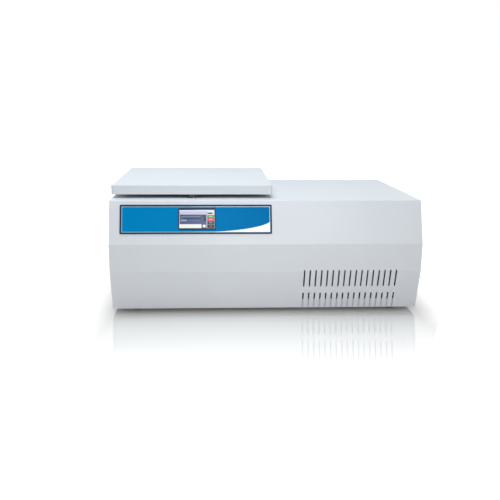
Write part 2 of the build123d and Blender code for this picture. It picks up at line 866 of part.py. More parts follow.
gasket_height = lid_gap - clearance
gasket_lip = 2.0
with BuildPart() as chamber_gasket:
    with BuildSketch(Plane.XY.offset(z_top)):
        with Locations((chamber_x, chamber_y)):
            Circle(gasket_outer_radius)
            Circle(gasket_inner_radius, mode=Mode.SUBTRACT)
    extrude(amount=gasket_height)
    chamfer(chamber_gasket.faces().sort_by(Axis.Z)[-1].edges(), gasket_lip)
chamber_gasket.part.label = "chamber_gasket"
export_step(chamber_gasket.part, "parts/chamber_gasket.step")

# Steel deck on four angle posts; the chamber, its foam and its guard ring stand on it.
deck_left = x_left + sheet + clearance
deck_right = partition_x - clearance
deck_front = y_front + deck_front_margin
deck_rear = y_rear - deck_rear_margin
deck_x = (deck_left + deck_right) / 2
deck_y = (deck_front + deck_rear) / 2
deck_underside = z_foam - deck_thickness
with BuildPart() as chamber_frame:
    with BuildSketch(Plane.XY.offset(deck_underside)):
        with Locations((deck_x, deck_y)):
            Rectangle(deck_right - deck_left, deck_rear - deck_front)
        with Locations((chamber_x, chamber_y)):
            Circle(motor_hole_radius, mode=Mode.SUBTRACT)
    extrude(amount=deck_thickness)
    for side_x in (-1, 1):
        for side_y in (-1, 1):
            corner_x = deck_x + side_x * ((deck_right - deck_left) / 2 - side_flange)
            corner_y = deck_y + side_y * (deck_rear - deck_front) / 2
            inner_x = corner_x - side_x * leg_size
            inner_y = corner_y - side_y * leg_size
            leg_height = deck_underside - z_floor
            with Locations(((corner_x + inner_x) / 2, corner_y - side_y * leg_sheet / 2, z_floor)):
                Box(leg_size, leg_sheet, leg_height, align=(Align.CENTER, Align.CENTER, Align.MIN))
            with Locations((corner_x - side_x * leg_sheet / 2, (corner_y + inner_y) / 2, z_floor)):
                Box(leg_sheet, leg_size, leg_height, align=(Align.CENTER, Align.CENTER, Align.MIN))
chamber_frame.part.label = "chamber_frame"
export_step(chamber_frame.part, "parts/chamber_frame.step")

# ======================================================================================= drive
z_motor_plate = z_floor + damper_height
z_motor = z_motor_plate + motor_plate_thickness
z_motor_top = z_motor + motor_height
z_boss_top = z_motor_top + motor_boss_height
z_pivot = z_top - pivot_drop
shaft_engagement = 18.0
bell_inset = 10.0
cooling_groove = 3.0
cooling_groove_count = 5
groove_pitch = (motor_height - 2 * bell_inset) / cooling_groove_count

with BuildPart() as motor_dampers:
    with Locations((chamber_x, chamber_y, z_floor)):
        with GridLocations(damper_spacing, damper_spacing, 2, 2):
            Cylinder(
                damper_radius, damper_height, align=(Align.CENTER, Align.CENTER, Align.MIN)
            )
    waist_edges = motor_dampers.edges().filter_by(GeomType.CIRCLE)
    chamfer(waist_edges, damper_radius / 7)
motor_dampers.part.label = "motor_dampers"
export_step(motor_dampers.part, "parts/motor_dampers.step")

plate_corner = 12.0
with BuildPart() as motor_plate:
    with BuildSketch(Plane.XY.offset(z_motor_plate)):
        with Locations((chamber_x, chamber_y)):
            RectangleRounded(motor_plate_size, motor_plate_size, plate_corner)
    extrude(amount=motor_plate_thickness)
motor_plate.part.label = "motor_plate"
export_step(motor_plate.part, "parts/motor_plate.step")

with BuildPart() as drive_motor:
    with BuildSketch(chamber_section):
        with BuildLine():
            Polyline(
                (0, z_motor),
                (motor_radius, z_motor),
                (motor_radius, z_motor_top - bell_inset),
                (motor_radius - bell_inset, z_motor_top),
                (motor_boss_radius, z_motor_top),
                (motor_boss_radius, z_boss_top),
                (0, z_boss_top),
                close=True,
            )
        make_face()
        for groove in range(cooling_groove_count):
            groove_z = z_motor + bell_inset + groove_pitch * groove
            with Locations((motor_radius, groove_z)):
                Rectangle(2 * cooling_groove, cooling_groove, mode=Mode.SUBTRACT)
    revolve(axis=rotor_axis)
    with Locations((chamber_x, chamber_y, z_boss_top)):
        Hole(shaft_radius + running_fit, depth=shaft_engagement + clearance)
drive_motor.part.label = "drive_motor"
export_step(drive_motor.part, "parts/drive_motor.step")

# Rubber boot: closes the bowl's hole around the motor's boss.
boot_wall = 3.0
boot_flange_width = 8.0
boot_flange_radius = bowl_hole_radius + boot_flange_width
boot_shaft_radius = shaft_radius + 3.0
boot_skirt = 10.0
boot_inner_radius = motor_boss_radius + clearance
with BuildPart() as shaft_boot:
    with BuildSketch(chamber_section):
        with BuildLine():
            Polyline(
                (boot_shaft_radius, z_bowl_floor),
                (boot_inner_radius, z_bowl_floor),
                (boot_inner_radius, z_boss_top - boot_skirt),
                (boot_inner_radius + boot_wall, z_boss_top - boot_skirt),
                (boot_inner_radius + boot_wall, z_bowl_floor),
                (boot_flange_radius, z_bowl_floor),
                (boot_flange_radius, z_bowl_floor + boot_wall),
                (boot_shaft_radius, z_bowl_floor + boot_wall),
                close=True,
            )
        make_face()
    revolve(axis=rotor_axis)
shaft_boot.part.label = "shaft_boot"
export_step(shaft_boot.part, "parts/shaft_boot.step")

z_shaft_bottom = z_boss_top - shaft_engagement
z_hub_top = z_pivot + rotor_thickness / 2 + rotor_hub_rise
z_hub_bottom = z_pivot - rotor_thickness / 2 - rotor_hub_drop
z_stud_top = z_hub_top + 0.7 * nut_height
with BuildPart() as motor_shaft:
    with Locations((chamber_x, chamber_y, z_shaft_bottom)):
        Cylinder(
            shaft_radius,
            z_pivot - z_shaft_bottom,
            align=(Align.CENTER, Align.CENTER, Align.MIN),
        )
    with Locations((chamber_x, chamber_y, z_pivot)):
        Cylinder(
            stud_radius, z_stud_top - z_pivot, align=(Align.CENTER, Align.CENTER, Align.MIN)
        )
motor_shaft.part.label = "motor_shaft"
export_step(motor_shaft.part, "parts/motor_shaft.step")

# Rotor head: a disc with four pockets; each slide carrier hangs in one pocket.
rotor_centre = Plane(origin=(chamber_x, chamber_y, z_pivot))
pocket_gap = 6.0
pocket_start = pivot_radius - carrier_width / 2 - pocket_gap
pocket_reach = rotor_radius - pocket_start + pocket_gap
rotor_edge = 2.0
trunnion_seat = 9.0
lightening_radius = 13.0
lightening_depth = 18.0
with BuildPart(rotor_centre) as rotor_head:
    Cylinder(rotor_radius, rotor_thickness)
    chamfer(rotor_head.edges().filter_by(GeomType.CIRCLE), rotor_edge)
    with PolarLocations(pocket_start, 4):
        Box(
            pocket_reach,
            2 * rotor_pocket_half_width,
            2 * rotor_thickness,
            align=(Align.MIN, Align.CENTER, Align.CENTER),
            mode=Mode.SUBTRACT,
        )
    with Locations((0, 0, rotor_thickness / 2 + rotor_hub_rise)):
        Cylinder(
            rotor_hub_radius,
            rotor_hub_rise + rotor_thickness + rotor_hub_drop,
            align=(Align.CENTER, Align.CENTER, Align.MAX),
        )
    with Locations((0, 0, rotor_thickness / 2)):
        with PolarLocations(pocket_start, 4, start_angle=45):
            Cylinder(
                lightening_radius,
                lightening_depth,
                align=(Align.CENTER, Align.CENTER, Align.MAX),
                mode=Mode.SUBTRACT,
            )
    Cylinder(
        shaft_radius + running_fit,
        2 * (z_pivot - z_hub_bottom),
        align=(Align.CENTER, Align.CENTER, Align.MAX),
        mode=Mode.SUBTRACT,
    )
    Cylinder(
        stud_radius + running_fit,
        2 * rotor_thickness,
        align=(Align.CENTER, Align.CENTER, Align.MIN),
        mode=Mode.SUBTRACT,
    )
    with PolarLocations(pivot_radius, 4):
        with Locations((0, rotor_pocket_half_width, 0), (0, -rotor_pocket_half_width, 0)):
            Cylinder(
                trunnion_radius + running_fit,
                2 * trunnion_seat,
                rotation=(90, 0, 0),
                mode=Mode.SUBTRACT,
            )
rotor_head.part.label = "rotor_head"
export_step(rotor_head.part, "parts/rotor_head.step")

trunnion_offset = rotor_pocket_half_width + (trunnion_seat - trunnion_length) / 2
with BuildPart(rotor_centre) as rotor_pins:
    with PolarLocations(pivot_radius, 4):
        with Locations((0, trunnion_offset, 0), (0, -trunnion_offset, 0)):
            Cylinder(trunnion_radius, trunnion_seat + trunnion_length, rotation=(90, 0, 0))
rotor_pins.part.label = "rotor_pins"
export_step(rotor_pins.part, "parts/rotor_pins.step")

nut_grip_count = 12
nut_grip_radius = 2.0
with BuildPart() as rotor_nut:
    with Locations((chamber_x, chamber_y, z_hub_top)):
        Cylinder(nut_radius, nut_height, align=(Align.CENTER, Align.CENTER, Align.MIN))
        with PolarLocations(nut_radius + nut_grip_radius / 2, nut_grip_count):
            Cylinder(nut_grip_radius, 3 * nut_height, mode=Mode.SUBTRACT)
        Cylinder(
            stud_radius + running_fit,
            z_stud_top - z_hub_top + clearance,
            align=(Align.CENTER, Align.CENTER, Align.MIN),
            mode=Mode.SUBTRACT,
        )
rotor_nut.part.label = "rotor_nut"
export_step(rotor_nut.part, "parts/rotor_nut.step")

# =============================================================================== slide carriers
# One carrier is drawn at the rotor's +X pocket, and turned about the rotor's axis for the others.
carrier_outer_half_length = carrier_inner_half_length + carrier_cheek
carrier_top_floor = carrier_floor - carrier_drop
pivot_x = chamber_x + pivot_radius
cheek_plane = Plane(origin=(pivot_x, chamber_y, z_pivot), x_dir=(1, 0, 0), z_dir=(0, -1, 0))
cheek_shoulder = 0.6 * carrier_drop
pad_width = 4.5
pad_radius = trunnion_radius + pad_width
pad_drop = 3 * trunnion_radius
groove_radius = trunnion_radius + running_fit
recess_fit = 0.3
carrier_place = Plane(origin=(pivot_x, chamber_y, z_pivot))
with BuildPart(carrier_place) as slide_carrier:
    with BuildSketch(cheek_plane):
        Circle(carrier_eye_radius)
        with BuildLine():
            Polyline(
                (-carrier_eye_radius, 0),
                (carrier_eye_radius, 0),
                (carrier_width / 2, -cheek_shoulder),
                (carrier_width / 2, -carrier_drop),
                (-carrier_width / 2, -carrier_drop),
                (-carrier_width / 2, -cheek_shoulder),
                close=True,
            )
        make_face()
    extrude(amount=carrier_outer_half_length, both=True)
    with Locations((0, 0, carrier_top_floor)):
        Box(
            2 * carrier_width,
            2 * carrier_inner_half_length,
            2 * carrier_drop,
            align=(Align.CENTER, Align.CENTER, Align.MIN),
            mode=Mode.SUBTRACT,
        )
    for side in (-1, 1):
        with BuildSketch(cheek_plane.offset(side * carrier_outer_half_length)):
            Circle(pad_radius)
            Rectangle(2 * pad_radius, pad_drop, align=(Align.CENTER, Align.MAX))
            Circle(groove_radius, mode=Mode.SUBTRACT)
            Rectangle(
                2 * groove_radius,
                2 * pad_drop,
                align=(Align.CENTER, Align.MAX),
                mode=Mode.SUBTRACT,
            )
        extrude(amount=side * trunnion_pad)
    with Locations((0, 0, carrier_top_floor)):
        Box(
            slide_width + 2 * recess_fit,
            slide_length + 2 * recess_fit,
            2 * slide_recess,
            mode=Mode.SUBTRACT,
        )

z_slide = z_pivot + carrier_top_floor - slide_recess
z_sample_base = z_slide + slide_thickness
with BuildPart() as glass_slide:
    with Locations((pivot_x, chamber_y, z_slide)):
        Box(
            slide_width,
            slide_length,
            slide_thickness,
            align=(Align.CENTER, Align.CENTER, Align.MIN),
        )

sample_lip = 2.0
with BuildPart() as sample_chamber:
    with Locations((pivot_x, chamber_y, z_sample_base)):
        Box(
            slide_width - 2 * sample_lip,
            2 * (carrier_inner_half_length - clearance),
            sample_base_height,
            align=(Align.CENTER, Align.CENTER, Align.MIN),
        )
        Cylinder(
            sample_tube_radius,
            sample_tube_height,
            align=(Align.CENTER, Align.CENTER, Align.MIN),
        )
        Cylinder(sample_port_radius, 3 * sample_tube_height, mode=Mode.SUBTRACT)
    with Locations((pivot_x, chamber_y, z_sample_base + sample_tube_height)):
        Cylinder(
            sample_tube_radius + sample_lip,
            sample_lip,
            align=(Align.CENTER, Align.CENTER, Align.MAX),
        )
        Hole(
            sample_tube_radius - sample_tube_wall, depth=sample_tube_height - sample_base_height
        )

for number in range(4):
    turn = 90 * number
    with BuildPart() as turned_carrier:
        add(slide_carrier.part.rotate(rotor_axis, turn))
    turned_carrier.part.label = f"slide_carrier_{number + 1}"
    export_step(turned_carrier.part, f"parts/slide_carrier_{number + 1}.step")
    with BuildPart() as turned_slide:
        add(glass_slide.part.rotate(rotor_axis, turn))
    turned_slide.part.label = f"glass_slide_{number + 1}"
    export_step(turned_slide.part, f"parts/glass_slide_{number + 1}.step")
    with BuildPart() as turned_chamber:
        add(sample_chamber.part.rotate(rotor_axis, turn))
    turned_chamber.part.label = f"sample_chamber_{number + 1}"
    export_step(turned_chamber.part, f"parts/sample_chamber_{number + 1}.step")

# ================================================================================ cooling unit
condenser_front = pan_front + sheet + condenser_clearance
condenser_rear = condenser_front + condenser_depth
condenser_bottom = z_floor + condenser_lift
condenser_top = condenser_bottom + condenser_height
condenser_right = vent_x + condenser_length / 2
condenser_y = (condenser_front + condenser_rear) / 2
fin_count = int((condenser_length - fin_pitch) // fin_pitch)
fin_groove_depth = 4.0
return_bend_count = 5
return_bend_pitch = condenser_height / (return_bend_count + 1)
return_bend_radius = return_bend_pitch / 4
with BuildPart() as condenser:
    with Locations((vent_x, condenser_y, condenser_bottom)):
        Box(
            condenser_length,
            condenser_depth,
            condenser_height,
            align=(Align.CENTER, Align.CENTER, Align.MIN),
        )
    for groove_y in (condenser_front, condenser_rear):
        with Locations((vent_x, groove_y, condenser_bottom)):
            with GridLocations(fin_pitch, 1, fin_count, 1):
                Box(
                    fin_groove,
                    2 * fin_groove_depth,
                    3 * condenser_height,
                    mode=Mode.SUBTRACT,
                )
    for side in (-1, 1):
        plate_x = vent_x + side * (condenser_length + end_plate) / 2
        with Locations((plate_x, condenser_y, z_floor)):
            Box(
                end_plate,
                condenser_depth,
                condenser_top - z_floor,
                align=(Align.CENTER, Align.CENTER, Align.MIN),
            )
    for bend in range(1, return_bend_count + 1):
        bend_z = condenser_bottom + bend * return_bend_pitch
        bend_plane = Plane(
            origin=(condenser_right + end_plate, condenser_y, bend_z),
            x_dir=(1, 0, 0),
            z_dir=(0, -1, 0),
        )
        with BuildSketch(bend_plane):
            Circle(return_bend_radius + bend_tube_radius)
            Circle(return_bend_radius - bend_tube_radius, mode=Mode.SUBTRACT)
            Rectangle(
                4 * return_bend_radius,
                4 * return_bend_radius,
                align=(Align.MAX, Align.CENTER),
                mode=Mode.SUBTRACT,
            )
        extrude(amount=bend_tube_radius, both=True)
condenser.part.label = "condenser"
export_step(condenser.part, "parts/condenser.step")

# Fan unit: drawn on a plane whose Z points to the rear, away from the condenser.
fan_z = (condenser_bottom + condenser_top) / 2
fan_plane = Plane(origin=(vent_x, condenser_rear, fan_z), x_dir=(1, 0, 0), z_dir=(0, 1, 0))
collar_inner_radius = fan_radius + fan_tip_gap
hub_start = 6.0
hub_end = hub_start + fan_hub_depth
fan_motor_start = hub_end + fan_motor_gap
ring_start = fan_motor_start + arm_width / 2
ring_end = ring_start + arm_width
leg_circle = collar_inner_radius + shroud_sheet + 1.5 * arm_width
motor_ring_radius = fan_motor_radius + running_fit
with BuildPart(fan_plane) as fan_shroud:
    with BuildSketch(fan_plane):
        Rectangle(condenser_length, condenser_height)
        Circle(collar_inner_radius, mode=Mode.SUBTRACT)
    extrude(amount=shroud_sheet)
    with BuildSketch(fan_plane):
        Circle(collar_inner_radius + shroud_sheet)
        Circle(collar_inner_radius, mode=Mode.SUBTRACT)
    extrude(amount=shroud_depth)
    with PolarLocations(leg_circle, 4, start_angle=45):
        Box(
            arm_width,
            arm_width,
            ring_end,
            align=(Align.CENTER, Align.CENTER, Align.MIN),
        )
    with Locations((0, 0, ring_start)):
        with PolarLocations(0, 4, start_angle=45):
            Box(
                leg_circle,
                arm_width,
                ring_end - ring_start,
                align=(Align.MIN, Align.CENTER, Align.MIN),
            )
        Cylinder(
            motor_ring_radius + arm_width / 2,
            ring_end - ring_start,
            align=(Align.CENTER, Align.CENTER, Align.MIN),
        )
        Cylinder(motor_ring_radius, 4 * arm_width, mode=Mode.SUBTRACT)
fan_shroud.part.label = "fan_shroud"
export_step(fan_shroud.part, "parts/fan_shroud.step")

fan_shaft_engagement = 12.0
motor_cap = 3.0
with BuildPart(fan_plane) as fan_motor:
    with Locations((0, 0, fan_motor_start)):
        Cylinder(
            fan_motor_radius, fan_motor_length, align=(Align.CENTER, Align.CENTER, Align.MIN)
        )
    chamfer(fan_motor.edges().filter_by(GeomType.CIRCLE), motor_cap)
    with Locations((0, 0, fan_motor_start)):
        Cylinder(
            fan_shaft_radius + running_fit,
            2 * (fan_shaft_engagement + clearance),
            mode=Mode.SUBTRACT,
        )
fan_motor.part.label = "fan_motor"
export_step(fan_motor.part, "parts/fan_motor.step")

blade_pitch_angle = 32.0
blade_thickness = 2.0
blade_width = 34.0
blade_root = fan_hub_radius - 2.0
with BuildPart(fan_plane) as fan_blades:
    with Locations((0, 0, (hub_start + hub_end) / 2)):
        with PolarLocations(blade_root, fan_blade_count):
            Box(
                fan_radius,
                blade_width,
                blade_thickness,
                rotation=(blade_pitch_angle, 0, 0),
                align=(Align.MIN, Align.CENTER, Align.CENTER),
            )
        Cylinder(fan_radius, 2 * fan_hub_depth, mode=Mode.INTERSECT)
        Cylinder(fan_hub_radius, fan_hub_depth)
    with Locations((0, 0, hub_end)):
        Cylinder(
            fan_shaft_radius,
            fan_motor_gap + fan_shaft_engagement,
            align=(Align.CENTER, Align.CENTER, Align.MIN),
        )
fan_blades.part.label = "fan_blades"
export_step(fan_blades.part, "parts/fan_blades.step")

# Hermetic compressor on four grommets.
compressor_y = y_front + compressor_y_from_front
z_compressor_base = z_floor + grommet_height
z_compressor = z_compressor_base + compressor_base_thickness
compressor_top = z_compressor + compressor_height
compressor_rounding = 22.0
terminal_length = 40.0
terminal_height = 50.0
terminal_depth = 16.0
terminal_z = z_compressor + compressor_height / 2
grommet_inset = 15.0
with BuildPart() as compressor:
    with Locations((compressor_x, compressor_y, z_compressor)):
        Cylinder(
            compressor_radius,
            compressor_height,
            align=(Align.CENTER, Align.CENTER, Align.MIN),
        )
    fillet(compressor.edges().filter_by(GeomType.CIRCLE), compressor_rounding)
    with Locations((compressor_x, compressor_y - compressor_radius, terminal_z)):
        Box(terminal_length, 2 * terminal_depth, terminal_height)
    with BuildSketch(Plane.XY.offset(z_compressor_base)):
        with Locations((compressor_x, compressor_y)):
            RectangleRounded(compressor_base_length, compressor_base_width, grommet_inset)
    extrude(amount=compressor_base_thickness)
compressor.part.label = "compressor"
export_step(compressor.part, "parts/compressor.step")

with BuildPart() as compressor_grommets:
    with Locations((compressor_x, compressor_y, z_floor)):
        with GridLocations(
            compressor_base_length - 2 * grommet_inset,
            compressor_base_width - 2 * grommet_inset,
            2,
            2,
        ):
            Cylinder(
                grommet_radius, grommet_height, align=(Align.CENTER, Align.CENTER, Align.MIN)
            )
compressor_grommets.part.label = "compressor_grommets"
export_step(compressor_grommets.part, "parts/compressor_grommets.step")

# Pipes: the hot line to the condenser, the liquid line through the drier, and the suction line.
pipe_x = condenser_right + end_plate + pipe_side_gap
pipe_start_x = condenser_right + end_plate
hot_line_z = z_under_top - pipe_top_gap
liquid_line_z = hot_line_z - pipe_spacing
z_condenser_in = condenser_top - header_inset
z_condenser_out = condenser_bottom + header_inset
drier_front = condenser_y + drier_gap
drier_rear = drier_front + drier_length
liquid_run_y = drier_rear + pipe_spacing
port_run_x = partition_x + liquid_run_inset
coil_contact_x = chamber_x + coil_radius + coil_tube_radius + clearance
discharge_x = compressor_x + discharge_offset
suction_run_x = partition_x + suction_run_inset
suction_low_z = z_compressor + suction_inlet_rise
suction_end_x = compressor_x - compressor_radius - clearance
with BuildPart() as filter_drier:
    with Locations((pipe_x, drier_front, z_condenser_out)):
        Cylinder(
            drier_radius,
            drier_length,
            rotation=(-90, 0, 0),
            align=(Align.CENTER, Align.CENTER, Align.MIN),
        )
    fillet(filter_drier.edges().filter_by(GeomType.CIRCLE), 0.6 * drier_radius)
filter_drier.part.label = "filter_drier"
export_step(filter_drier.part, "parts/filter_drier.step")

hot_line = (
    (discharge_x, compressor_y, compressor_top),
    (discharge_x, compressor_y, hot_line_z),
    (pipe_x, compressor_y, hot_line_z),
    (pipe_x, condenser_y, hot_line_z),
    (pipe_x, condenser_y, z_condenser_in),
    (pipe_start_x, condenser_y, z_condenser_in),
)
outlet_line = (
    (pipe_start_x, condenser_y, z_condenser_out),
    (pipe_x, condenser_y, z_condenser_out),
    (pipe_x, drier_front, z_condenser_out),
)
liquid_line = (
    (pipe_x, drier_rear, z_condenser_out),
    (pipe_x, liquid_run_y, z_condenser_out),
    (pipe_x, liquid_run_y, liquid_line_z),
    (port_run_x, liquid_run_y, liquid_line_z),
    (port_run_x, liquid_run_y, liquid_port_z),
    (port_run_x, chamber_y, liquid_port_z),
    (coil_contact_x, chamber_y, liquid_port_z),
)
suction_line = (
    (coil_contact_x, chamber_y, suction_port_z),
    (suction_run_x, chamber_y, suction_port_z),
    (suction_run_x, compressor_y, suction_port_z),
    (suction_run_x, compressor_y, suction_low_z),
    (suction_end_x, compressor_y, suction_low_z),
)
pipe_runs = (
    (discharge_radius, hot_line),
    (liquid_radius, outlet_line),
    (liquid_radius, liquid_line),
    (suction_radius, suction_line),
)
with BuildPart() as refrigerant_pipes:
    for tube_radius, corners in pipe_runs:
        with BuildLine() as run:
            FilletPolyline(*corners, radius=pipe_bend)
        with BuildSketch(Plane(origin=run.line @ 0, z_dir=run.line % 0)):
            Circle(tube_radius)
        sweep(path=run.line)
refrigerant_pipes.part.label = "refrigerant_pipes"
export_step(refrigerant_pipes.part, "parts/refrigerant_pipes.step")

# =================================================================================== electrics
fin_pitch_x = 8.0
sink_fin_gap = 5.0
sink_fin_depth = 14.0
drive_unit_fins = int((drive_unit_length - fin_pitch_x) // fin_pitch_x)
drive_unit_x = x_right - drive_unit_right_gap - drive_unit_length / 2
drive_unit_y = y_rear - drive_unit_rear_gap - drive_unit_depth / 2
with BuildPart() as drive_unit:
    with Locations((drive_unit_x, drive_unit_y, z_floor)):
        Box(
            drive_unit_length,
            drive_unit_depth,
            drive_unit_height,
            align=(Align.CENTER, Align.CENTER, Align.MIN),
        )
    with Locations((drive_unit_x, drive_unit_y, z_floor + drive_unit_height)):
        with GridLocations(fin_pitch_x, 1, drive_unit_fins, 1):
            Box(sink_fin_gap, 2 * drive_unit_depth, 2 * sink_fin_depth, mode=Mode.SUBTRACT)
drive_unit.part.label = "drive_unit"
export_step(drive_unit.part, "parts/drive_unit.step")

socket_wall = 3.0
socket_floor = 4.0
socket_depth = inlet_depth - socket_floor
blade_size = 2.0
blade_height = 6.0
blade_spacing = 7.0
blade_reach = 15.0
with BuildPart() as power_inlet:
    with BuildSketch(rear_face):
        with Locations((-inlet_x, electrics_z)):
            RectangleRounded(
                inlet_length + 2 * inlet_flange, inlet_height + 2 * inlet_flange, inlet_flange
            )
    extrude(amount=inlet_proud)
    with BuildSketch(rear_face):
        with Locations((-inlet_x, electrics_z)):
            Rectangle(inlet_length, inlet_height)
    extrude(amount=-inlet_depth)
    with BuildSketch(rear_face.offset(inlet_proud)):
        with Locations((-inlet_x, electrics_z)):
            RectangleRounded(
                inlet_length - 2 * socket_wall, inlet_height - 2 * socket_wall, socket_wall
            )
    extrude(amount=-socket_depth, mode=Mode.SUBTRACT)
    with BuildSketch(rear_face.offset(inlet_proud - socket_depth)):
        with Locations(
            (-inlet_x - blade_spacing, electrics_z),
            (-inlet_x, electrics_z + blade_spacing / 2),
            (-inlet_x + blade_spacing, electrics_z),
        ):
            Rectangle(blade_size, blade_height)
    extrude(amount=blade_reach)
power_inlet.part.label = "power_inlet"
export_step(power_inlet.part, "parts/power_inlet.step")

# Mains switch: a frame clipped into the rear panel, and a rocker on two short pins.
rocker_y = y_rear - 0.5
with BuildPart() as switch_frame:
    with BuildSketch(rear_face):
        with Locations((-switch_x, electrics_z)):
            Rectangle(switch_body_length + 2 * rocker_wall, switch_body_height + 2 * rocker_wall)
    extrude(amount=inlet_proud)
    with BuildSketch(rear_face):
        with Locations((-switch_x, electrics_z)):
            Rectangle(switch_body_length, switch_body_height)
    extrude(amount=-switch_depth)
    with BuildSketch(rear_face.offset(inlet_proud)):
        with Locations((-switch_x, electrics_z)):
            Rectangle(
                switch_body_length - 2 * rocker_wall, switch_body_height - 2 * rocker_wall
            )
    extrude(amount=-switch_depth, mode=Mode.SUBTRACT)
    with Locations((switch_x, rocker_y, electrics_z)):
        Cylinder(
            rocker_pin_radius + running_fit,
            2 * switch_body_length,
            rotation=(0, 90, 0),
            mode=Mode.SUBTRACT,
        )
switch_frame.part.label = "switch_frame"
export_step(switch_frame.part, "parts/switch_frame.step")

tilt = radians(rocker_tilt)
rocker_end = rocker_crown + rocker_height / 2 * sin(tilt) / cos(tilt)
rocker_plane = Plane(
    origin=(switch_x, rocker_y, electrics_z),
    x_dir=(0, cos(tilt), sin(tilt)),
    z_dir=(1, 0, 0),
)
rocker_pin_length = rocker_width + 2 * rocker_wall
with BuildPart() as mains_rocker:
    with BuildSketch(rocker_plane):
        with BuildLine():
            Polyline(
                (-rocker_depth, -rocker_height / 2),
                (rocker_end, -rocker_height / 2),
                (rocker_crown, 0),
                (rocker_end, rocker_height / 2),
                (-rocker_depth, rocker_height / 2),
                close=True,
            )
        make_face()
    extrude(amount=rocker_width / 2, both=True)
    with BuildSketch(rocker_plane):
        Circle(rocker_pin_radius)
    extrude(amount=rocker_pin_length / 2, both=True)
mains_rocker.part.label = "mains_rocker"
export_step(mains_rocker.part, "parts/mains_rocker.step")
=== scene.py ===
"""Finishes, printed details, light and camera for a refrigerated bench cytocentrifuge.

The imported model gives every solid. This script paints each of them, adds the small pieces that are
printed, pressed or turned on them, and sets up a pale studio round the machine. Lengths are metres.
"""

from __future__ import annotations

import logging
import math
from dataclasses import dataclass, field, replace
from enum import Enum

import bmesh
import bpy
import numpy as np
from mathutils import Matrix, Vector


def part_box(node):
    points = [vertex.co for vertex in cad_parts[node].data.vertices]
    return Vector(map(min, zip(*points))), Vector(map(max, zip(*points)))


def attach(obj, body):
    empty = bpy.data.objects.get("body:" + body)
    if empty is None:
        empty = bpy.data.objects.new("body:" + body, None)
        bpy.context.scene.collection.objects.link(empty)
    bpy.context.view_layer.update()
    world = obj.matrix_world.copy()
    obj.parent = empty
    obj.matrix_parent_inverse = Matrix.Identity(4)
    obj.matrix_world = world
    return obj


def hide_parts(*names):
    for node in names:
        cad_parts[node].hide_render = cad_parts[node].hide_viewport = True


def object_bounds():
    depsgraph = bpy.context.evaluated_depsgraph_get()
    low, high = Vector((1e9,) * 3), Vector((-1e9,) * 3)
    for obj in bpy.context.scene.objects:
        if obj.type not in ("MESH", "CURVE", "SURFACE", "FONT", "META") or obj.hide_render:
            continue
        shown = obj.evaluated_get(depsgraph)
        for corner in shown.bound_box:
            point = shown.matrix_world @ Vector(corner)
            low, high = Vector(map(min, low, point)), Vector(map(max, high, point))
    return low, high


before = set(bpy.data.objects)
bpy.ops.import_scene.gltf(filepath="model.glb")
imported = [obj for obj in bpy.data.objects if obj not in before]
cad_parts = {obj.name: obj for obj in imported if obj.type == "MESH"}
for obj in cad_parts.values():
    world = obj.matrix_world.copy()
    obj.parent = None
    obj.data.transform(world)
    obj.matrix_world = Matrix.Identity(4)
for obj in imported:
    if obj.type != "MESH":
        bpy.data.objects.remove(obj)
cad_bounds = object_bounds()

log = logging.getLogger("cytocentrifuge")

Colour = tuple[float, float, float]
Point = tuple[float, float, float]
Piece = bpy.types.Object
Socket = bpy.types.NodeSocket
Surface = tuple[Socket, Socket, Socket]

MERGE_DISTANCE = 1e-7
BEVEL = 0.00001
TINY = 1e-9
ZERO = (0.0, 0.0, 0.0)
BLACK, WHITE = (0.0, 0.0, 0.0), (1.0, 1.0, 1.0)
DUST_COLOUR = (0.62, 0.6, 0.56)

# The part of each value's range that a material spreads over all its tones.
NOISE_MIDDLE = (0.3, 0.7)
STREAK_MIDDLE = (0.25, 0.75)
EDGE_TURN = (0.02, 0.2)
WEAR_AND_HIGHLIGHT_PATCHES = (0.35, 0.7)
DUST_CLOUDS = (0.4, 0.75)
UPWARD = (0.3, 1.0)

# How strong the edge colour of wear and painted highlight is on its faintest stretch, and how fast
# tool marks change round their axis.
FAINTEST_EDGE = 0.25
MARKS_ROUND = 1.5


# ------------------------------------------------------------------------------------ mesh making
def mesh_object(name: str, points: np.ndarray, faces: list) -> Piece:
    """Makes an object at the origin from points and faces, and turns its faces outward.

    Args:
        name: The object's name.
        points: Vertex places, one row each, in metres.
        faces: Vertex numbers of each face.

    Returns:
        The linked object.
    """
    mesh = bpy.data.meshes.new(name)
    mesh.from_pydata(np.asarray(points, float).reshape(-1, 3).tolist(), [], faces)
    shell = bmesh.new()
    shell.from_mesh(mesh)
    bmesh.ops.remove_doubles(shell, verts=shell.verts, dist=MERGE_DISTANCE)
    bmesh.ops.recalc_face_normals(shell, faces=shell.faces)
    shell.to_mesh(mesh)
    shell.free()
    return linked(name, mesh)


def linked(name: str, data: bpy.types.ID) -> Piece:
    """Makes an object at the origin and puts it in the scene.

    Args:
        name: The object's name.
        data: Its mesh, lamp or camera.

    Returns:
        The linked object.
    """
    holder = bpy.data.objects.new(name, data)
    bpy.context.scene.collection.objects.link(holder)
    return holder


def grid_faces(rows: int, columns: int, wrap_rows: bool, wrap_columns: bool) -> np.ndarray:
    """Quads of a grid of points: face (i, j) joins rows i, i + 1 with columns j, j + 1.

    Args:
        rows: Number of rows of points.
        columns: Number of points in each row.
        wrap_rows: Whether the last row joins the first.
        wrap_columns: Whether each row's last point joins its first.

    Returns:
        An array of four vertex numbers per face.
    """
    i = np.arange(rows if wrap_rows else rows - 1)[:, None]
    j = np.arange(columns if wrap_columns else columns - 1)[None, :]
    nxt_i, nxt_j = (i + 1) % rows, (j + 1) % columns
    corners = (i * columns + j, i * columns + nxt_j, nxt_i * columns + nxt_j, nxt_i * columns + j)
    return np.stack(np.broadcast_arrays(*corners), -1).reshape(-1, 4)


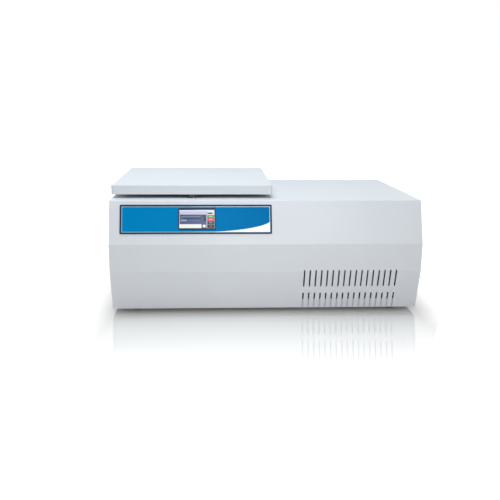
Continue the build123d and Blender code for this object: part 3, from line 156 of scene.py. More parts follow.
def loft(name: str, stacks: np.ndarray, closed: bool = False) -> Piece:
    """Skins equal rows of closed rings into one piece. The end rings are filled, unless closed.

    Args:
        name: The object's name.
        stacks: Array of shape (solids, rings, points, 3), or (rings, points, 3) for one solid.
        closed: Whether the last ring joins the first.

    Returns:
        The piece.
    """
    solids, count, size = stacks.reshape(-1, *stacks.shape[-3:]).shape[:3]
    start = np.arange(solids)[:, None, None] * count * size
    faces = (grid_faces(count, size, closed, True)[None] + start).reshape(-1, 4).tolist()
    if not closed:
        ends = np.array([np.arange(size), np.arange(size) + (count - 1) * size])
        faces += (ends[None] + start).reshape(-1, size).tolist()
    return mesh_object(name, stacks, faces)


def turned(name: str, profile: np.ndarray, place: np.ndarray, steps: int = 48) -> Piece:
    """Turns a closed section round an axis: radius * (cos a, sin a) across and height along.

    Args:
        name: The object's name.
        profile: Rows of (radius, height) of a section that lies off the axis.
        place: 4 x 4 matrix that puts the axis, which is Z here, in its place.
        steps: Points round the axis.

    Returns:
        The solid of revolution.
    """
    angle = np.linspace(0, 2 * math.pi, steps, endpoint=False)[:, None]
    radius, height = profile[:, 0][None, :], profile[:, 1][None, :]
    ring = np.stack([radius * np.cos(angle), radius * np.sin(angle), height + 0 * angle], -1)
    faces = grid_faces(steps, len(profile), True, True)
    return mesh_object(name, placed(ring, place), faces.tolist())


def placed(points: np.ndarray, place: np.ndarray) -> np.ndarray:
    """Carries points by a 4 x 4 matrix: rotation times point, plus offset."""
    return points @ place[:3, :3].T + place[:3, 3]


def frame_of(x: Point, y: Point, z: Point, origin: Point) -> np.ndarray:
    """Gives the 4 x 4 matrix whose columns are three axes and an origin."""
    return np.concatenate([np.stack([x, y, z, origin], 1), [[0.0, 0.0, 0.0, 1.0]]])


def facing(place: Point, out: Point, turn: float = 0.0) -> np.ndarray:
    """Gives the matrix of a frame whose Z points along out, turned about it.

    Args:
        place: The frame's origin.
        out: Unit vector of its Z.
        turn: Angle about Z, in radians.

    Returns:
        A 4 x 4 matrix.
    """
    z = np.array(out, float)
    side = np.array([1.0, 0.0, 0.0]) - z[0] * z
    x = side / np.linalg.norm(side)
    y = np.cross(z, x)
    cosine, sine = math.cos(turn), math.sin(turn)
    return frame_of(cosine * x + sine * y, cosine * y - sine * x, z, place)


def rounded_rectangle(width: float, height: float, corner: float, steps: int = 8) -> np.ndarray:
    """Outline of a rectangle whose corners are quarter circles, counter-clockwise.

    Each corner is its own centre plus corner * (cos a, sin a), with a over a quarter turn.

    Args:
        width: Full width.
        height: Full height.
        corner: Corner radius.
        steps: Points in each corner.

    Returns:
        An array of (x, y) rows.
    """
    turn = np.linspace(0, math.pi / 2, steps)
    start = np.arange(4)[:, None] * math.pi / 2
    angle = (start + turn[None, :]).ravel()
    sign_x = np.repeat([1, -1, -1, 1], steps)
    sign_y = np.repeat([1, 1, -1, -1], steps)
    x = sign_x * (width / 2 - corner) + corner * np.cos(angle)
    y = sign_y * (height / 2 - corner) + corner * np.sin(angle)
    return np.stack([x, y], -1)


def lines_at(rows: list[tuple[np.ndarray, float]], axis: int = 0) -> np.ndarray:
    """Stacks flat lines, each at its own height.

    Args:
        rows: The (x, y) points of each line, and its height.
        axis: 0 makes each line a ring, and 1 makes a ring of all the lines' points of one number.

    Returns:
        Array of shape (rings, points, 3).
    """
    lines = [np.concatenate([line, np.full((len(line), 1), level)], 1) for line, level in rows]
    return np.stack(lines, axis)


def plate_rings(outline: np.ndarray, bottom: float, top: float, edge: float) -> np.ndarray:
    """Rings of a flat plate with a small bevel round its top.

    The outline is scaled about its middle by 1 at the bottom and below the bevel, and by less above
    it, so that the bevel is as wide as it is high.

    Args:
        outline: Rows of (x, y).
        bottom: Height of the underside.
        top: Height of the top.
        edge: Height of the bevel.

    Returns:
        Array of shape (3, points, 3).
    """
    middle = (outline.max(0) + outline.min(0)) / 2
    half = (outline.max(0) - outline.min(0)) / 2
    share = np.clip((half - edge) / half, 0, 1)
    levels = ((np.ones(2), bottom), (np.ones(2), top - edge), (share, top))
    return lines_at([(middle + (outline - middle) * scale, height) for scale, height in levels])


# ---------------------------------------------------------------------------------- shader making
class Graph:
    """Adds nodes to one shader tree, each with its constants and links in a single call."""

    def __init__(self, tree: bpy.types.NodeTree) -> None:
        """Keeps the tree."""
        self.tree = tree

    def add(self, kind: str, settings: dict | None = None, **sockets: object) -> bpy.types.Node:
        """Adds a node.

        Args:
            kind: The node's type name without its ShaderNode prefix.
            settings: The node's own properties.
            **sockets: Constant or linked value of each input. An underscore stands for a space,
                and in0, in1 stand for inputs by number.

        Returns:
            The new node.
        """
        node = self.tree.nodes.new(f"ShaderNode{kind}")
        for name, value in (settings or {}).items():
            setattr(node, name, value)
        return self.feed(node, **sockets)

    def feed(self, node: bpy.types.Node, **sockets: object) -> bpy.types.Node:
        """Links or sets inputs of a node.

        Args:
            node: The node.
            **sockets: Its inputs, named as in add.

        Returns:
            The same node.
        """
        for name, value in sockets.items():
            numbered = name[:2] == "in" and name[2:].isdigit()
            target = node.inputs[int(name[2:]) if numbered else name.replace("_", " ")]
            if isinstance(value, Socket):
                self.tree.links.new(value, target)
            else:
                target.default_value = value
        return node

    def maths(self, operation: str, first: object, second: object = 0.0) -> Socket:
        """Adds a Math node and gives its result."""
        return self.add("Math", {"operation": operation}, in0=first, in1=second).outputs[0]

    def vector(
        self, operation: str, first: object, second: object = ZERO, output: str = "Vector"
    ) -> Socket:
        """Adds a Vector Math node and gives one output, which is Value for a length or a dot."""
        node = self.add("VectorMath", {"operation": operation}, in0=first, in1=second)
        return node.outputs[output]

    def remap(
        self, value: object, low: float, high: float, to_low: float = 0.0, to_high: float = 1.0
    ) -> Socket:
        """Maps low..high to to_low..to_high, and holds the ends."""
        ends = {"From_Min": low, "From_Max": high, "To_Min": to_low, "To_Max": to_high}
        return self.add("MapRange", {"clamp": True}, Value=value, **ends).outputs[0]

    def mix(self, share: object, first: object, second: object) -> Socket:
        """Mixes two colours by a share. A plain colour gets an alpha of 1."""
        low, high = (end if isinstance(end, Socket) else (*end, 1.0) for end in (first, second))
        return self.add("Mix", {"data_type": "RGBA"}, in0=share, in6=low, in7=high).outputs[2]

    def place(self) -> Socket:
        """Gives the piece's own coordinates, in metres."""
        return self.add("TexCoord").outputs["Object"]

    def along(self, axis: str) -> Socket:
        """Gives one of the piece's own coordinates."""
        return self.add("SeparateXYZ", Vector=self.place()).outputs[axis]

    def wave(self, axis: str, pitch: float) -> Socket:
        """Gives sin(2 pi x / pitch) along an axis of the piece."""
        turn = self.maths("MULTIPLY", self.along(axis), 2 * math.pi / pitch)
        return self.maths("SINE", turn)

    def noise(self, scale: object, detail: float = 2.0) -> Socket:
        """Adds a noise texture on the piece's own coordinates."""
        return self.add("TexNoise", Vector=self.place(), Scale=scale, Detail=detail).outputs["Fac"]

    def group(self, tree: bpy.types.NodeTree, **sockets: object) -> bpy.types.bpy_prop_collection:
        """Adds a shared group with this material's own values, and gives its outputs."""
        return self.add("Group", {"node_tree": tree}, **sockets).outputs


def effect(
    name: str, inputs: dict[str, float], outputs: tuple[str, ...]
) -> tuple[Graph, bpy.types.Node, bpy.types.Node]:
    """Starts a shader node group.

    Args:
        name: The group's name.
        inputs: Name and default of each number it takes.
        outputs: Names of the masks or heights that it gives.

    Returns:
        The group's graph, and its input and output nodes.
    """
    tree = bpy.data.node_groups.new(name, "ShaderNodeTree")
    for label, default in inputs.items():
        socket = tree.interface.new_socket(label, in_out="INPUT", socket_type="NodeSocketFloat")
        socket.default_value = default
    for label in outputs:
        tree.interface.new_socket(label, in_out="OUTPUT", socket_type="NodeSocketFloat")
    return Graph(tree), tree.nodes.new("NodeGroupInput"), tree.nodes.new("NodeGroupOutput")


class Effects:
    """The effects that several finishes share, each built once as a node group."""

    def __init__(self) -> None:
        """Builds every group."""
        self.grain = self.build_grain()
        self.wear_and_highlight = self.build_wear_and_highlight()
        self.dust = self.build_dust()
        self.brush = self.build_brush()
        self.turning = self.build_turning()

    @staticmethod
    def build_grain() -> bpy.types.NodeTree:
        """Fine bumps and a broad mottle: two noises of different scale.

        Returns:
            The group.
        """
        graph, given, result = effect("grain", {"Fine": 900.0, "Broad": 9.0}, ("Height", "Mottle"))
        fine, broad = (given.outputs[size] for size in ("Fine", "Broad"))
        graph.feed(result, Height=graph.noise(fine), Mottle=graph.noise(broad, 4.0))
        return graph.tree

    @staticmethod
    def build_wear_and_highlight() -> bpy.types.NodeTree:
        """Edge mask for wear, and for the painted highlight on the powder coat's edges: one minus
        the dot of the true and the rounded normal, broken by noise.

        Returns:
            The group.
        """
        graph, given, result = effect("edge_wear_and_highlight", {"Width": 0.001, "Breakup": 180.0}, ("Mask",))
        rounded = graph.add("Bevel", {"samples": 4}, Radius=given.outputs["Width"]).outputs[0]
        flat = graph.add("NewGeometry").outputs["Normal"]
        dot = graph.vector("DOT_PRODUCT", rounded, flat, "Value")
        edge = graph.remap(graph.maths("SUBTRACT", 1.0, dot), *EDGE_TURN)
        broken = graph.remap(graph.noise(given.outputs["Breakup"], 3.0), *WEAR_AND_HIGHLIGHT_PATCHES, FAINTEST_EDGE)
        graph.feed(result, Mask=graph.maths("MULTIPLY", edge, broken))
        return graph.tree

    @staticmethod
    def build_dust() -> bpy.types.NodeTree:
        """Dust mask: how far a face looks up, times a cloudy noise.

        Returns:
            The group.
        """
        graph, given, result = effect("dust", {"Cloud": 26.0}, ("Mask",))
        normal = graph.add("NewGeometry").outputs["Normal"]
        lying = graph.remap(graph.add("SeparateXYZ", Vector=normal).outputs["Z"], *UPWARD)
        cloud = graph.remap(graph.noise(given.outputs["Cloud"], 5.0), *DUST_CLOUDS)
        graph.feed(result, Mask=graph.maths("MULTIPLY", lying, cloud))
        return graph.tree

    @staticmethod
    def build_brush() -> bpy.types.NodeTree:
        """Brushed streaks: noise on coordinates that are stretched by a factor per axis.

        Returns:
            The group.
        """
        inputs = {"Across X": 20.0, "Across Y": 900.0, "Across Z": 900.0}
        graph, given, result = effect("brushing", inputs, ("Streak",))
        split = graph.add("SeparateXYZ", Vector=graph.place())
        parts = [
            graph.maths("MULTIPLY", split.outputs[axis], given.outputs[f"Across {axis}"])
            for axis in "XYZ"
        ]
        stretched = graph.add("CombineXYZ", in0=parts[0], in1=parts[1], in2=parts[2]).outputs[0]
        streak = graph.add("TexNoise", Vector=stretched, Scale=1.0, Detail=3.0).outputs["Fac"]
        graph.feed(result, Streak=streak)
        return graph.tree

    @staticmethod
    def build_turning() -> bpy.types.NodeTree:
        """Tool marks round an upright axis: noise of the distance from it, and of the height.

        Returns:
            The group.
        """
        inputs = {"Centre X": 0.0, "Centre Y": 0.0, "Lines": 1500.0, "Climb": 1500.0}
        graph, given, result = effect("turning_marks", inputs, ("Streak",))
        split = graph.add("SeparateXYZ", Vector=graph.place())
        across = graph.maths("SUBTRACT", split.outputs["X"], given.outputs["Centre X"])
        along = graph.maths("SUBTRACT", split.outputs["Y"], given.outputs["Centre Y"])
        squares = graph.maths(
            "ADD", graph.maths("MULTIPLY", across, across), graph.maths("MULTIPLY", along, along)
        )
        radius = graph.maths("MULTIPLY", graph.maths("SQRT", squares), given.outputs["Lines"])
        climb = graph.maths("MULTIPLY", split.outputs["Z"], given.outputs["Climb"])
        angle = graph.maths("MULTIPLY", graph.maths("ARCTAN2", along, across), MARKS_ROUND)
        vector = graph.add("CombineXYZ", in0=radius, in1=climb, in2=angle).outputs[0]
        streak = graph.add("TexNoise", Vector=vector, Scale=1.0, Detail=3.0).outputs["Fac"]
        graph.feed(result, Streak=streak)
        return graph.tree


def new_material(name: str) -> tuple[bpy.types.Material, Graph, bpy.types.Node]:
    """Starts a material.

    Args:
        name: The material's name.

    Returns:
        The material, its graph and its Principled shader.
    """
    material = bpy.data.materials.new(name)
    material.use_nodes = True
    tree = material.node_tree
    return material, Graph(tree), tree.nodes["Principled BSDF"]


@dataclass(frozen=True)
class Finish:
    """A finish: its colour, its gloss, and how far its grain shows."""

    name: str
    colour: Colour
    second: Colour
    roughness: float
    spread: float = 0.08
    metallic: float = 0.0
    fine: float = 900.0
    broad: float = 9.0
    bump: float = 0.15
    depth: float = 0.0001
    specular: float = 0.5
    coat: float = 0.0
    # Edge colour: wear on most finishes, and on the powder coat a painted highlight.
    wear_and_highlight: float = 0.0
    wear_and_highlight_colour: Colour = (0.9, 0.91, 0.93)
    wear_and_highlight_width: float = 0.001
    dust: float = 0.0

    def build(self, effects: Effects) -> bpy.types.Material:
        """Builds the material.

        Args:
            effects: The shared node groups.

        Returns:
            The material.
        """
        material, graph, shader = new_material(self.name)
        material.diffuse_color = (*self.colour, 1.0)
        graph.feed(
            shader, Metallic=self.metallic, Specular_IOR_Level=self.specular, Coat_Weight=self.coat
        )
        colour, gloss, height = self.surface(graph, effects)
        if self.dust > 0:
            share = graph.maths("MULTIPLY", graph.group(effects.dust)["Mask"], self.dust)
            colour = graph.mix(share, colour, DUST_COLOUR)
        # Edge colour: wear on most finishes; on the pale powder coat it is paler than the paint, a
        # painted highlight along every edge.
        if self.wear_and_highlight > 0:
            wear_and_highlight_mask = graph.group(effects.wear_and_highlight, Width=self.wear_and_highlight_width)["Mask"]
            colour = graph.mix(graph.maths("MULTIPLY", wear_and_highlight_mask, self.wear_and_highlight), colour, self.wear_and_highlight_colour)
        bump = graph.add("Bump", Strength=self.bump, Distance=self.depth, Height=height)
        graph.feed(shader, Base_Color=colour, Roughness=gloss, Normal=bump.outputs[0])
        return material

    def gloss(self, graph: Graph, value: Socket, low: float, high: float) -> Socket:
        """Gives a roughness from roughness - spread at low to roughness + spread at high."""
        ends = (self.roughness - self.spread, self.roughness + self.spread)
        return graph.remap(value, low, high, *ends)

    def tone(self, graph: Graph, value: Socket, low: float, high: float) -> Socket:
        """Gives the mix of the two colours, from the first at low to the second at high."""
        return graph.mix(graph.remap(value, low, high), self.colour, self.second)

    def toned(self, graph: Graph, value: Socket, low: float, high: float) -> tuple[Socket, Socket]:
        """Gives a tone and a gloss that follow the same value."""
        return self.tone(graph, value, low, high), self.gloss(graph, value, low, high)

    def surface(self, graph: Graph, effects: Effects) -> Surface:
        """Gives colour, roughness and height from the shared grain.

        Args:
            graph: The material's graph.
            effects: The shared node groups.

        Returns:
            The three sockets.
        """
        grain = graph.group(effects.grain, Fine=self.fine, Broad=self.broad)
        return *self.toned(graph, grain["Mottle"], *NOISE_MIDDLE), grain["Height"]


@dataclass(frozen=True)
class TurnedMetal(Finish):
    """Metal with tool marks round an upright axis."""

    centre: tuple[float, float] = (0.0, 0.0)
    lines: float = 1500.0
    climb: float = 1500.0

    def surface(self, graph: Graph, effects: Effects) -> Surface:
        """Gives colour, roughness and height from tool marks round the axis."""
        marks = graph.group(
            effects.turning, Centre_X=self.centre[0], Centre_Y=self.centre[1], Lines=self.lines,
            Climb=self.climb,
        )["Streak"]
        return *self.toned(graph, marks, *STREAK_MIDDLE), marks


@dataclass(frozen=True)
class BrushedMetal(Finish):
    """Metal brushed along one axis."""

    across: Point = (20.0, 900.0, 900.0)

    def surface(self, graph: Graph, effects: Effects) -> Surface:
        """Gives colour, roughness and height from streaks along the axis."""
        streak = graph.group(
            effects.brush, **{f"Across_{axis}": value for axis, value in zip("XYZ", self.across)}
        )["Streak"]
        return *self.toned(graph, streak, *STREAK_MIDDLE), streak


@dataclass(frozen=True)
class ZincedSheet(Finish):
    """Galvanised sheet: crystals of slightly different grey, each with its own gloss."""

    crystal: float = 160.0
    ragged: float = 90.0
    raggedness: float = 0.006

    def surface(self, graph: Graph, effects: Effects) -> Surface:
        """Gives colour, roughness and height from random cells with ragged edges.

        Args:
            graph: The material's graph.
            effects: The shared node groups, which aren't used here.

        Returns:
            The three sockets.
        """
        warp = graph.add("TexNoise", Vector=graph.place(), Scale=self.ragged, Detail=2.0)
        lift = graph.vector("MULTIPLY", warp.outputs["Color"], (self.raggedness,) * 3)
        where = graph.vector("ADD", graph.place(), lift)
        cells = graph.add("TexVoronoi", Vector=where, Scale=self.crystal)
        grey = graph.add("SeparateColor", Color=cells.outputs["Color"]).outputs[0]
        colour = graph.mix(grey, self.colour, self.second)
        return colour, self.gloss(graph, grey, 0.0, 1.0), graph.noise(self.fine)


@dataclass(frozen=True)
class CellFoam(Finish):
    """Rigid foam: closed cells as pits, with a cloudy yellowing."""

    cell: float = 700.0
    pit: float = 0.6

    def surface(self, graph: Graph, effects: Effects) -> Surface:
        """Gives colour, roughness and height from cells."""
        cells = graph.add("TexVoronoi", Vector=graph.place(), Scale=self.cell).outputs["Distance"]
        return (
            self.tone(graph, graph.noise(self.broad, 4.0), *NOISE_MIDDLE),
            self.gloss(graph, cells, 0.0, self.pit),
            cells,
        )


@dataclass(frozen=True)
class FinStackPaintedGapShade(Finish):
    """Thin fins side by side: painted shade in the gaps and bright fin edges, one pair per pitch
    along X.
    """

    pitch: float = 0.002
    steepness: float = 0.6

    def surface(self, graph: Graph, effects: Effects) -> Surface:
        """Gives colour, roughness and height from a sine wave along X, whose troughs are painted
        shade between the fins.

        Args:
            graph: The material's graph.
            effects: The shared node groups, which aren't used here.

        Returns:
            The three sockets.
        """
        wave, steep = graph.wave("X", self.pitch), self.steepness
        ends = (self.roughness + self.spread, self.roughness - self.spread)
        # The second colour, nearly black, is painted shade in the gaps between the fins.
        return (
            graph.mix(graph.remap(wave, -steep, steep), self.second, self.colour),
            graph.remap(wave, -1.0, 1.0, *ends),
            wave,
        )


@dataclass(frozen=True)
class BlueFilmPaintedShade(Finish):
    """Printed polyester film, its blue darker towards the panel's right end: painted shade."""

    left: float = -0.378
    right: float = 0.009
    cloud: float = 14.0

    def surface(self, graph: Graph, effects: Effects) -> Surface:
        """Gives colour, roughness and height. The share of the darker blue, which is painted shade,
        is t squared from the left.

        Args:
            graph: The material's graph.
            effects: The shared node groups, which aren't used here.

        Returns:
            The three sockets.
        """
        # The blue darkens towards the panel's right end: painted shade.
        part = graph.remap(graph.along("X"), self.left, self.right)
        colour = graph.mix(graph.maths("MULTIPLY", part, part), self.colour, self.second)
        ends = (self.roughness, self.roughness + self.spread)
        gloss = graph.remap(graph.noise(self.cloud, 3.0), *NOISE_MIDDLE, *ends)
        return colour, gloss, graph.noise(self.fine)


@dataclass(frozen=True)
class Clear:
    """Clear or milky material that lets light through."""

    name: str
    colour: Colour
    roughness: float
    transmission: float
    ior: float
    frost: float = 0.1
    darkening: float = 0.94
    fine: float = 1200.0
    broad: float = 60.0
    bump: float = 0.05
    depth: float = 0.00005

    def build(self, effects: Effects) -> bpy.types.Material:
        """Builds the material, with a cloudy roughness and a faint grain.

        Args:
            effects: The shared node groups.

        Returns:
            The material.
        """
        material, graph, shader = new_material(self.name)
        graph.feed(shader, Transmission_Weight=self.transmission, IOR=self.ior)
        grain = graph.group(effects.grain, Fine=self.fine, Broad=self.broad)
        darker = tuple(self.darkening * part for part in self.colour)
        tint = graph.mix(graph.remap(grain["Mottle"], *NOISE_MIDDLE), self.colour, darker)
        ends = (self.roughness, self.roughness + self.frost)
        gloss = graph.remap(grain["Mottle"], *NOISE_MIDDLE, *ends)
        bump = graph.add("Bump", Strength=self.bump, Distance=self.depth, Height=grain["Height"])
        graph.feed(shader, Base_Color=tint, Roughness=gloss, Normal=bump.outputs[0])
        return material


@dataclass(frozen=True)
class LitPicture:
    """A lit display: each face's own colour, with the pixel rows just showing."""

    name: str
    glow: float
    body: float = 0.2
    specular: float = 0.15
    row_pitch: float = 0.0004
    row_shade: float = 0.1
    cloud: float = 40.0
    roughness: tuple[float, float] = (0.12, 0.2)

    def build(self, effects: Effects) -> bpy.types.Material:
        """Builds the material from the piece's colour attribute, with a sine wave of pixel rows.

        Args:
            effects: The shared node groups, which aren't used here.

        Returns:
            The material.
        """
        material, graph, shader = new_material(self.name)
        tint = graph.add("Attribute", {"attribute_name": "tint"}).outputs["Color"]
        shade = graph.remap(graph.wave("Z", self.row_pitch), -1.0, 1.0, self.row_shade, 0.0)
        dimmed = graph.mix(shade, tint, BLACK)
        gloss = graph.remap(graph.noise(self.cloud), *NOISE_MIDDLE, *self.roughness)
        graph.feed(
            shader, Base_Color=graph.mix(self.body, BLACK, dimmed), Emission_Color=dimmed,
            Emission_Strength=self.glow, Specular_IOR_Level=self.specular, Roughness=gloss,
        )
        return material


Coating = Finish | Clear | LitPicture
Added = tuple[Piece, str, str, Coating]


@dataclass
class Paintshop:
    """Holds every finish of the machine, and puts it on pieces."""

    effects: Effects = field(default_factory=Effects)
    made: dict[str, bpy.types.Material] = field(default_factory=dict)

    def coat(self, piece: Piece, finish: Coating) -> None:
        """Puts a finish on every slot of a piece.

        Args:
            piece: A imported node's object or a new piece.
            finish: The finish.
        """
        if finish.name not in self.made:
            self.made[finish.name] = finish.build(self.effects)
        material = self.made[finish.name]
        if not piece.material_slots:
            piece.data.materials.append(material)
        for place in piece.material_slots:
            place.material = material
        log.info("%s: %s", piece.name, finish.name)

    def join(self, piece: Piece, body: str, slot: str, finish: Coating) -> Piece:
        """Finishes a new piece and lets it ride on its body.

        Args:
            piece: The new piece.
            body: The moving body that carries it.
            slot: The record's material slot; not used.
            finish: The finish.

        Returns:
            The piece.
        """
        self.coat(piece, finish)
        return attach(piece, body)


# -------------------------------------------------------------------------------------- finishes
CHAMBER_CENTRE = (-0.196, 0.0275)
PLACE_NUMBERS = (1, 2, 3, 4)

# The base pan's grey is darker than the cover, fitted to how dark the pan looks through the lower
# slots.
PAN_SLOT_FITTED_GREY = Finish(
    "base pan grey fitted to the slots", (0.565, 0.585, 0.615), (0.54, 0.56, 0.59), 0.5, 0.05,
    fine=1100.0, broad=6.0, bump=0.12, depth=0.00012, wear_and_highlight=0.4,
    wear_and_highlight_colour=(0.75, 0.77, 0.79), wear_and_highlight_width=0.0012, dust=0.15,
)
# Its edge colour, paler than the paint, is a painted highlight along the edges of the cover, panels
# and lid.
POWDER_COAT = Finish(
    "pale powder coat", (0.765, 0.795, 0.84), (0.75, 0.78, 0.828), 0.46, 0.04,
    fine=1100.0, broad=6.0, bump=0.12, depth=0.00012, wear_and_highlight=0.5,
    wear_and_highlight_colour=(0.94, 0.95, 0.965), wear_and_highlight_width=0.0015, dust=0.05,
)
ZINCED = ZincedSheet(
    "zinced sheet", (0.58, 0.6, 0.62), (0.68, 0.7, 0.72), 0.4, 0.07, metallic=1.0,
    fine=600.0, bump=0.08, depth=0.00005, wear_and_highlight=0.3, wear_and_highlight_colour=(0.8, 0.82, 0.84),
)
LINER = BrushedMetal(
    "brushed liner sheet", (0.7, 0.71, 0.72), (0.62, 0.63, 0.65), 0.34, 0.06, metallic=1.0,
    bump=0.12, depth=0.00003, across=(14.0, 1400.0, 1400.0),
)
BOWL_STEEL = TurnedMetal(
    "spun stainless", (0.70, 0.71, 0.72), (0.60, 0.61, 0.62), 0.26, 0.07, metallic=1.0,
    bump=0.1, depth=0.00004, centre=CHAMBER_CENTRE, lines=1300.0, climb=1300.0,
)
PIN_STEEL = Finish(
    "ground steel", (0.72, 0.73, 0.74), (0.66, 0.67, 0.69), 0.22, 0.05, metallic=1.0,
    fine=1500.0, broad=60.0, bump=0.05, depth=0.00003,
)
SCREW_STEEL = Finish(
    "plated screw steel", (0.76, 0.77, 0.79), (0.66, 0.67, 0.70), 0.25, 0.06, metallic=1.0,
    fine=1300.0, broad=120.0, bump=0.08, depth=0.00003, wear_and_highlight=0.3, wear_and_highlight_width=0.0004,
)
GUARD_STEEL = Finish(
    "hot rolled steel", (0.2, 0.21, 0.225), (0.3, 0.3, 0.31), 0.5, 0.1, metallic=0.9,
    fine=500.0, broad=22.0, bump=0.3, depth=0.00015, wear_and_highlight=0.4, wear_and_highlight_colour=(0.45, 0.45, 0.46),
)
BLACK_OXIDE = Finish(
    "black oxide steel", (0.035, 0.038, 0.045), (0.06, 0.063, 0.07), 0.36, metallic=0.6,
    broad=80.0, bump=0.1, depth=0.00004, wear_and_highlight=0.5,
    wear_and_highlight_colour=(0.34, 0.35, 0.36), wear_and_highlight_width=0.0006,
)
FOAM = CellFoam(
    "rigid insulation foam", (0.83, 0.76, 0.55), (0.74, 0.64, 0.4), 0.85,
    broad=20.0, bump=0.5, depth=0.0005, specular=0.2,
)
RUBBER = Finish(
    "black rubber", (0.022, 0.022, 0.024), (0.036, 0.036, 0.038), 0.68, 0.1,
    fine=1600.0, broad=50.0, bump=0.25, depth=0.00008, specular=0.35, dust=0.12,
)
GASKET = Finish(
    "grey gasket rubber", (0.075, 0.076, 0.08), (0.1, 0.1, 0.105), 0.6,
    fine=1500.0, broad=35.0, bump=0.2, depth=0.00006, specular=0.4,
)
ROTOR_ALLOY = TurnedMetal(
    "turned anodised alloy", (0.52, 0.53, 0.56), (0.44, 0.45, 0.48), 0.32, 0.06, metallic=1.0,
    bump=0.12, depth=0.00003, wear_and_highlight=0.4, wear_and_highlight_colour=(0.75, 0.76, 0.78), wear_and_highlight_width=0.0008,
    centre=CHAMBER_CENTRE, lines=1700.0, climb=1700.0,
)
CARRIER_ALLOY = Finish(
    "blasted anodised alloy", (0.46, 0.47, 0.50), (0.40, 0.41, 0.44), 0.45, 0.05, metallic=1.0,
    fine=2600.0, broad=60.0, bump=0.25, depth=0.00006, wear_and_highlight=0.45,
    wear_and_highlight_colour=(0.75, 0.76, 0.78), wear_and_highlight_width=0.0006,
)
TUBE_PLASTIC = Clear("milky moulded plastic", (0.86, 0.89, 0.9), 0.28, 0.55, 1.49, 0.12)
SLIDE_GLASS = Clear("slide glass", (0.9, 0.96, 0.94), 0.02, 1.0, 1.52, 0.03)
MOTOR_BLACK = Finish(
    "black motor enamel", (0.028, 0.028, 0.03), (0.045, 0.045, 0.048), 0.38, 0.1,
    fine=420.0, broad=24.0, bump=0.25, depth=0.0003, wear_and_highlight=0.3, wear_and_highlight_colour=(0.2, 0.2, 0.2),
    dust=0.1,
)
COPPER = Finish(
    "drawn copper", (0.74, 0.40, 0.25), (0.52, 0.27, 0.17), 0.32, 0.1, metallic=1.0,
    fine=700.0, broad=40.0, bump=0.08, depth=0.00005,
)
# Its second, nearly black colour is painted shade between the fins.
FINS = FinStackPaintedGapShade(
    "aluminium fins with painted gap shade", (0.72, 0.73, 0.74), (0.1, 0.1, 0.11), 0.42, 0.1, metallic=0.9,
    bump=0.6, depth=0.0005, dust=0.1,
)
HEATSINK = BrushedMetal(
    "extruded alloy", (0.66, 0.67, 0.69), (0.58, 0.59, 0.61), 0.4, metallic=1.0,
    bump=0.12, depth=0.00004, across=(900.0, 18.0, 900.0),
)
BLACK_PLASTIC = Finish(
    "black moulded plastic", (0.028, 0.029, 0.034), (0.038, 0.039, 0.045), 0.46, 0.06,
    fine=3200.0, broad=60.0, bump=0.3, depth=0.00005, specular=0.45, dust=0.05,
)
BEZEL_PLASTIC = Finish(
    "dark bezel plastic", (0.018, 0.022, 0.042), (0.025, 0.029, 0.05), 0.4, 0.05,
    fine=3000.0, broad=60.0, bump=0.15, depth=0.00004, specular=0.15,
)
# Its second, darker blue is painted shade towards the panel's right end.
FILM = BlueFilmPaintedShade(
    "blue printed film", (0.0005, 0.248, 0.575), (0.0005, 0.175, 0.465), 0.3, 0.05,
    fine=1800.0, bump=0.03, depth=0.00005, specular=0.02,
)
INK_LINE = Finish(
    "pale blue ink", (0.27, 0.5, 0.68), (0.25, 0.48, 0.66), 0.22, 0.04,
    fine=1800.0, broad=40.0, bump=0.03, depth=0.00005, coat=0.3,
)
INK_WHITE = replace(
    INK_LINE, name="white ink", colour=(0.88, 0.89, 0.9), second=(0.85, 0.865, 0.88)
)
MARK_WHITE = Finish(
    "pad printed white", (0.8, 0.8, 0.8), (0.72, 0.72, 0.72), 0.5, 0.06,
    fine=2200.0, broad=300.0, bump=0.1, depth=0.00002,
)
MARK_GREY = Finish(
    "laser mark", (0.09, 0.09, 0.095), (0.12, 0.12, 0.125), 0.55, 0.06, metallic=0.4,
    fine=2400.0, broad=200.0, bump=0.1, depth=0.00002,
)
SCREEN_BACK = Finish(
    "dark display glass", (0.012, 0.014, 0.02), (0.02, 0.022, 0.03), 0.1, 0.04,
    fine=1500.0, broad=40.0, bump=0.02, depth=0.00002, coat=0.5,
)
PICTURE = LitPicture("lit display picture", 0.82)
BOARD = Finish(
    "circuit board", (0.02, 0.16, 0.07), (0.03, 0.22, 0.1), 0.35, broad=260.0, bump=0.3,
)


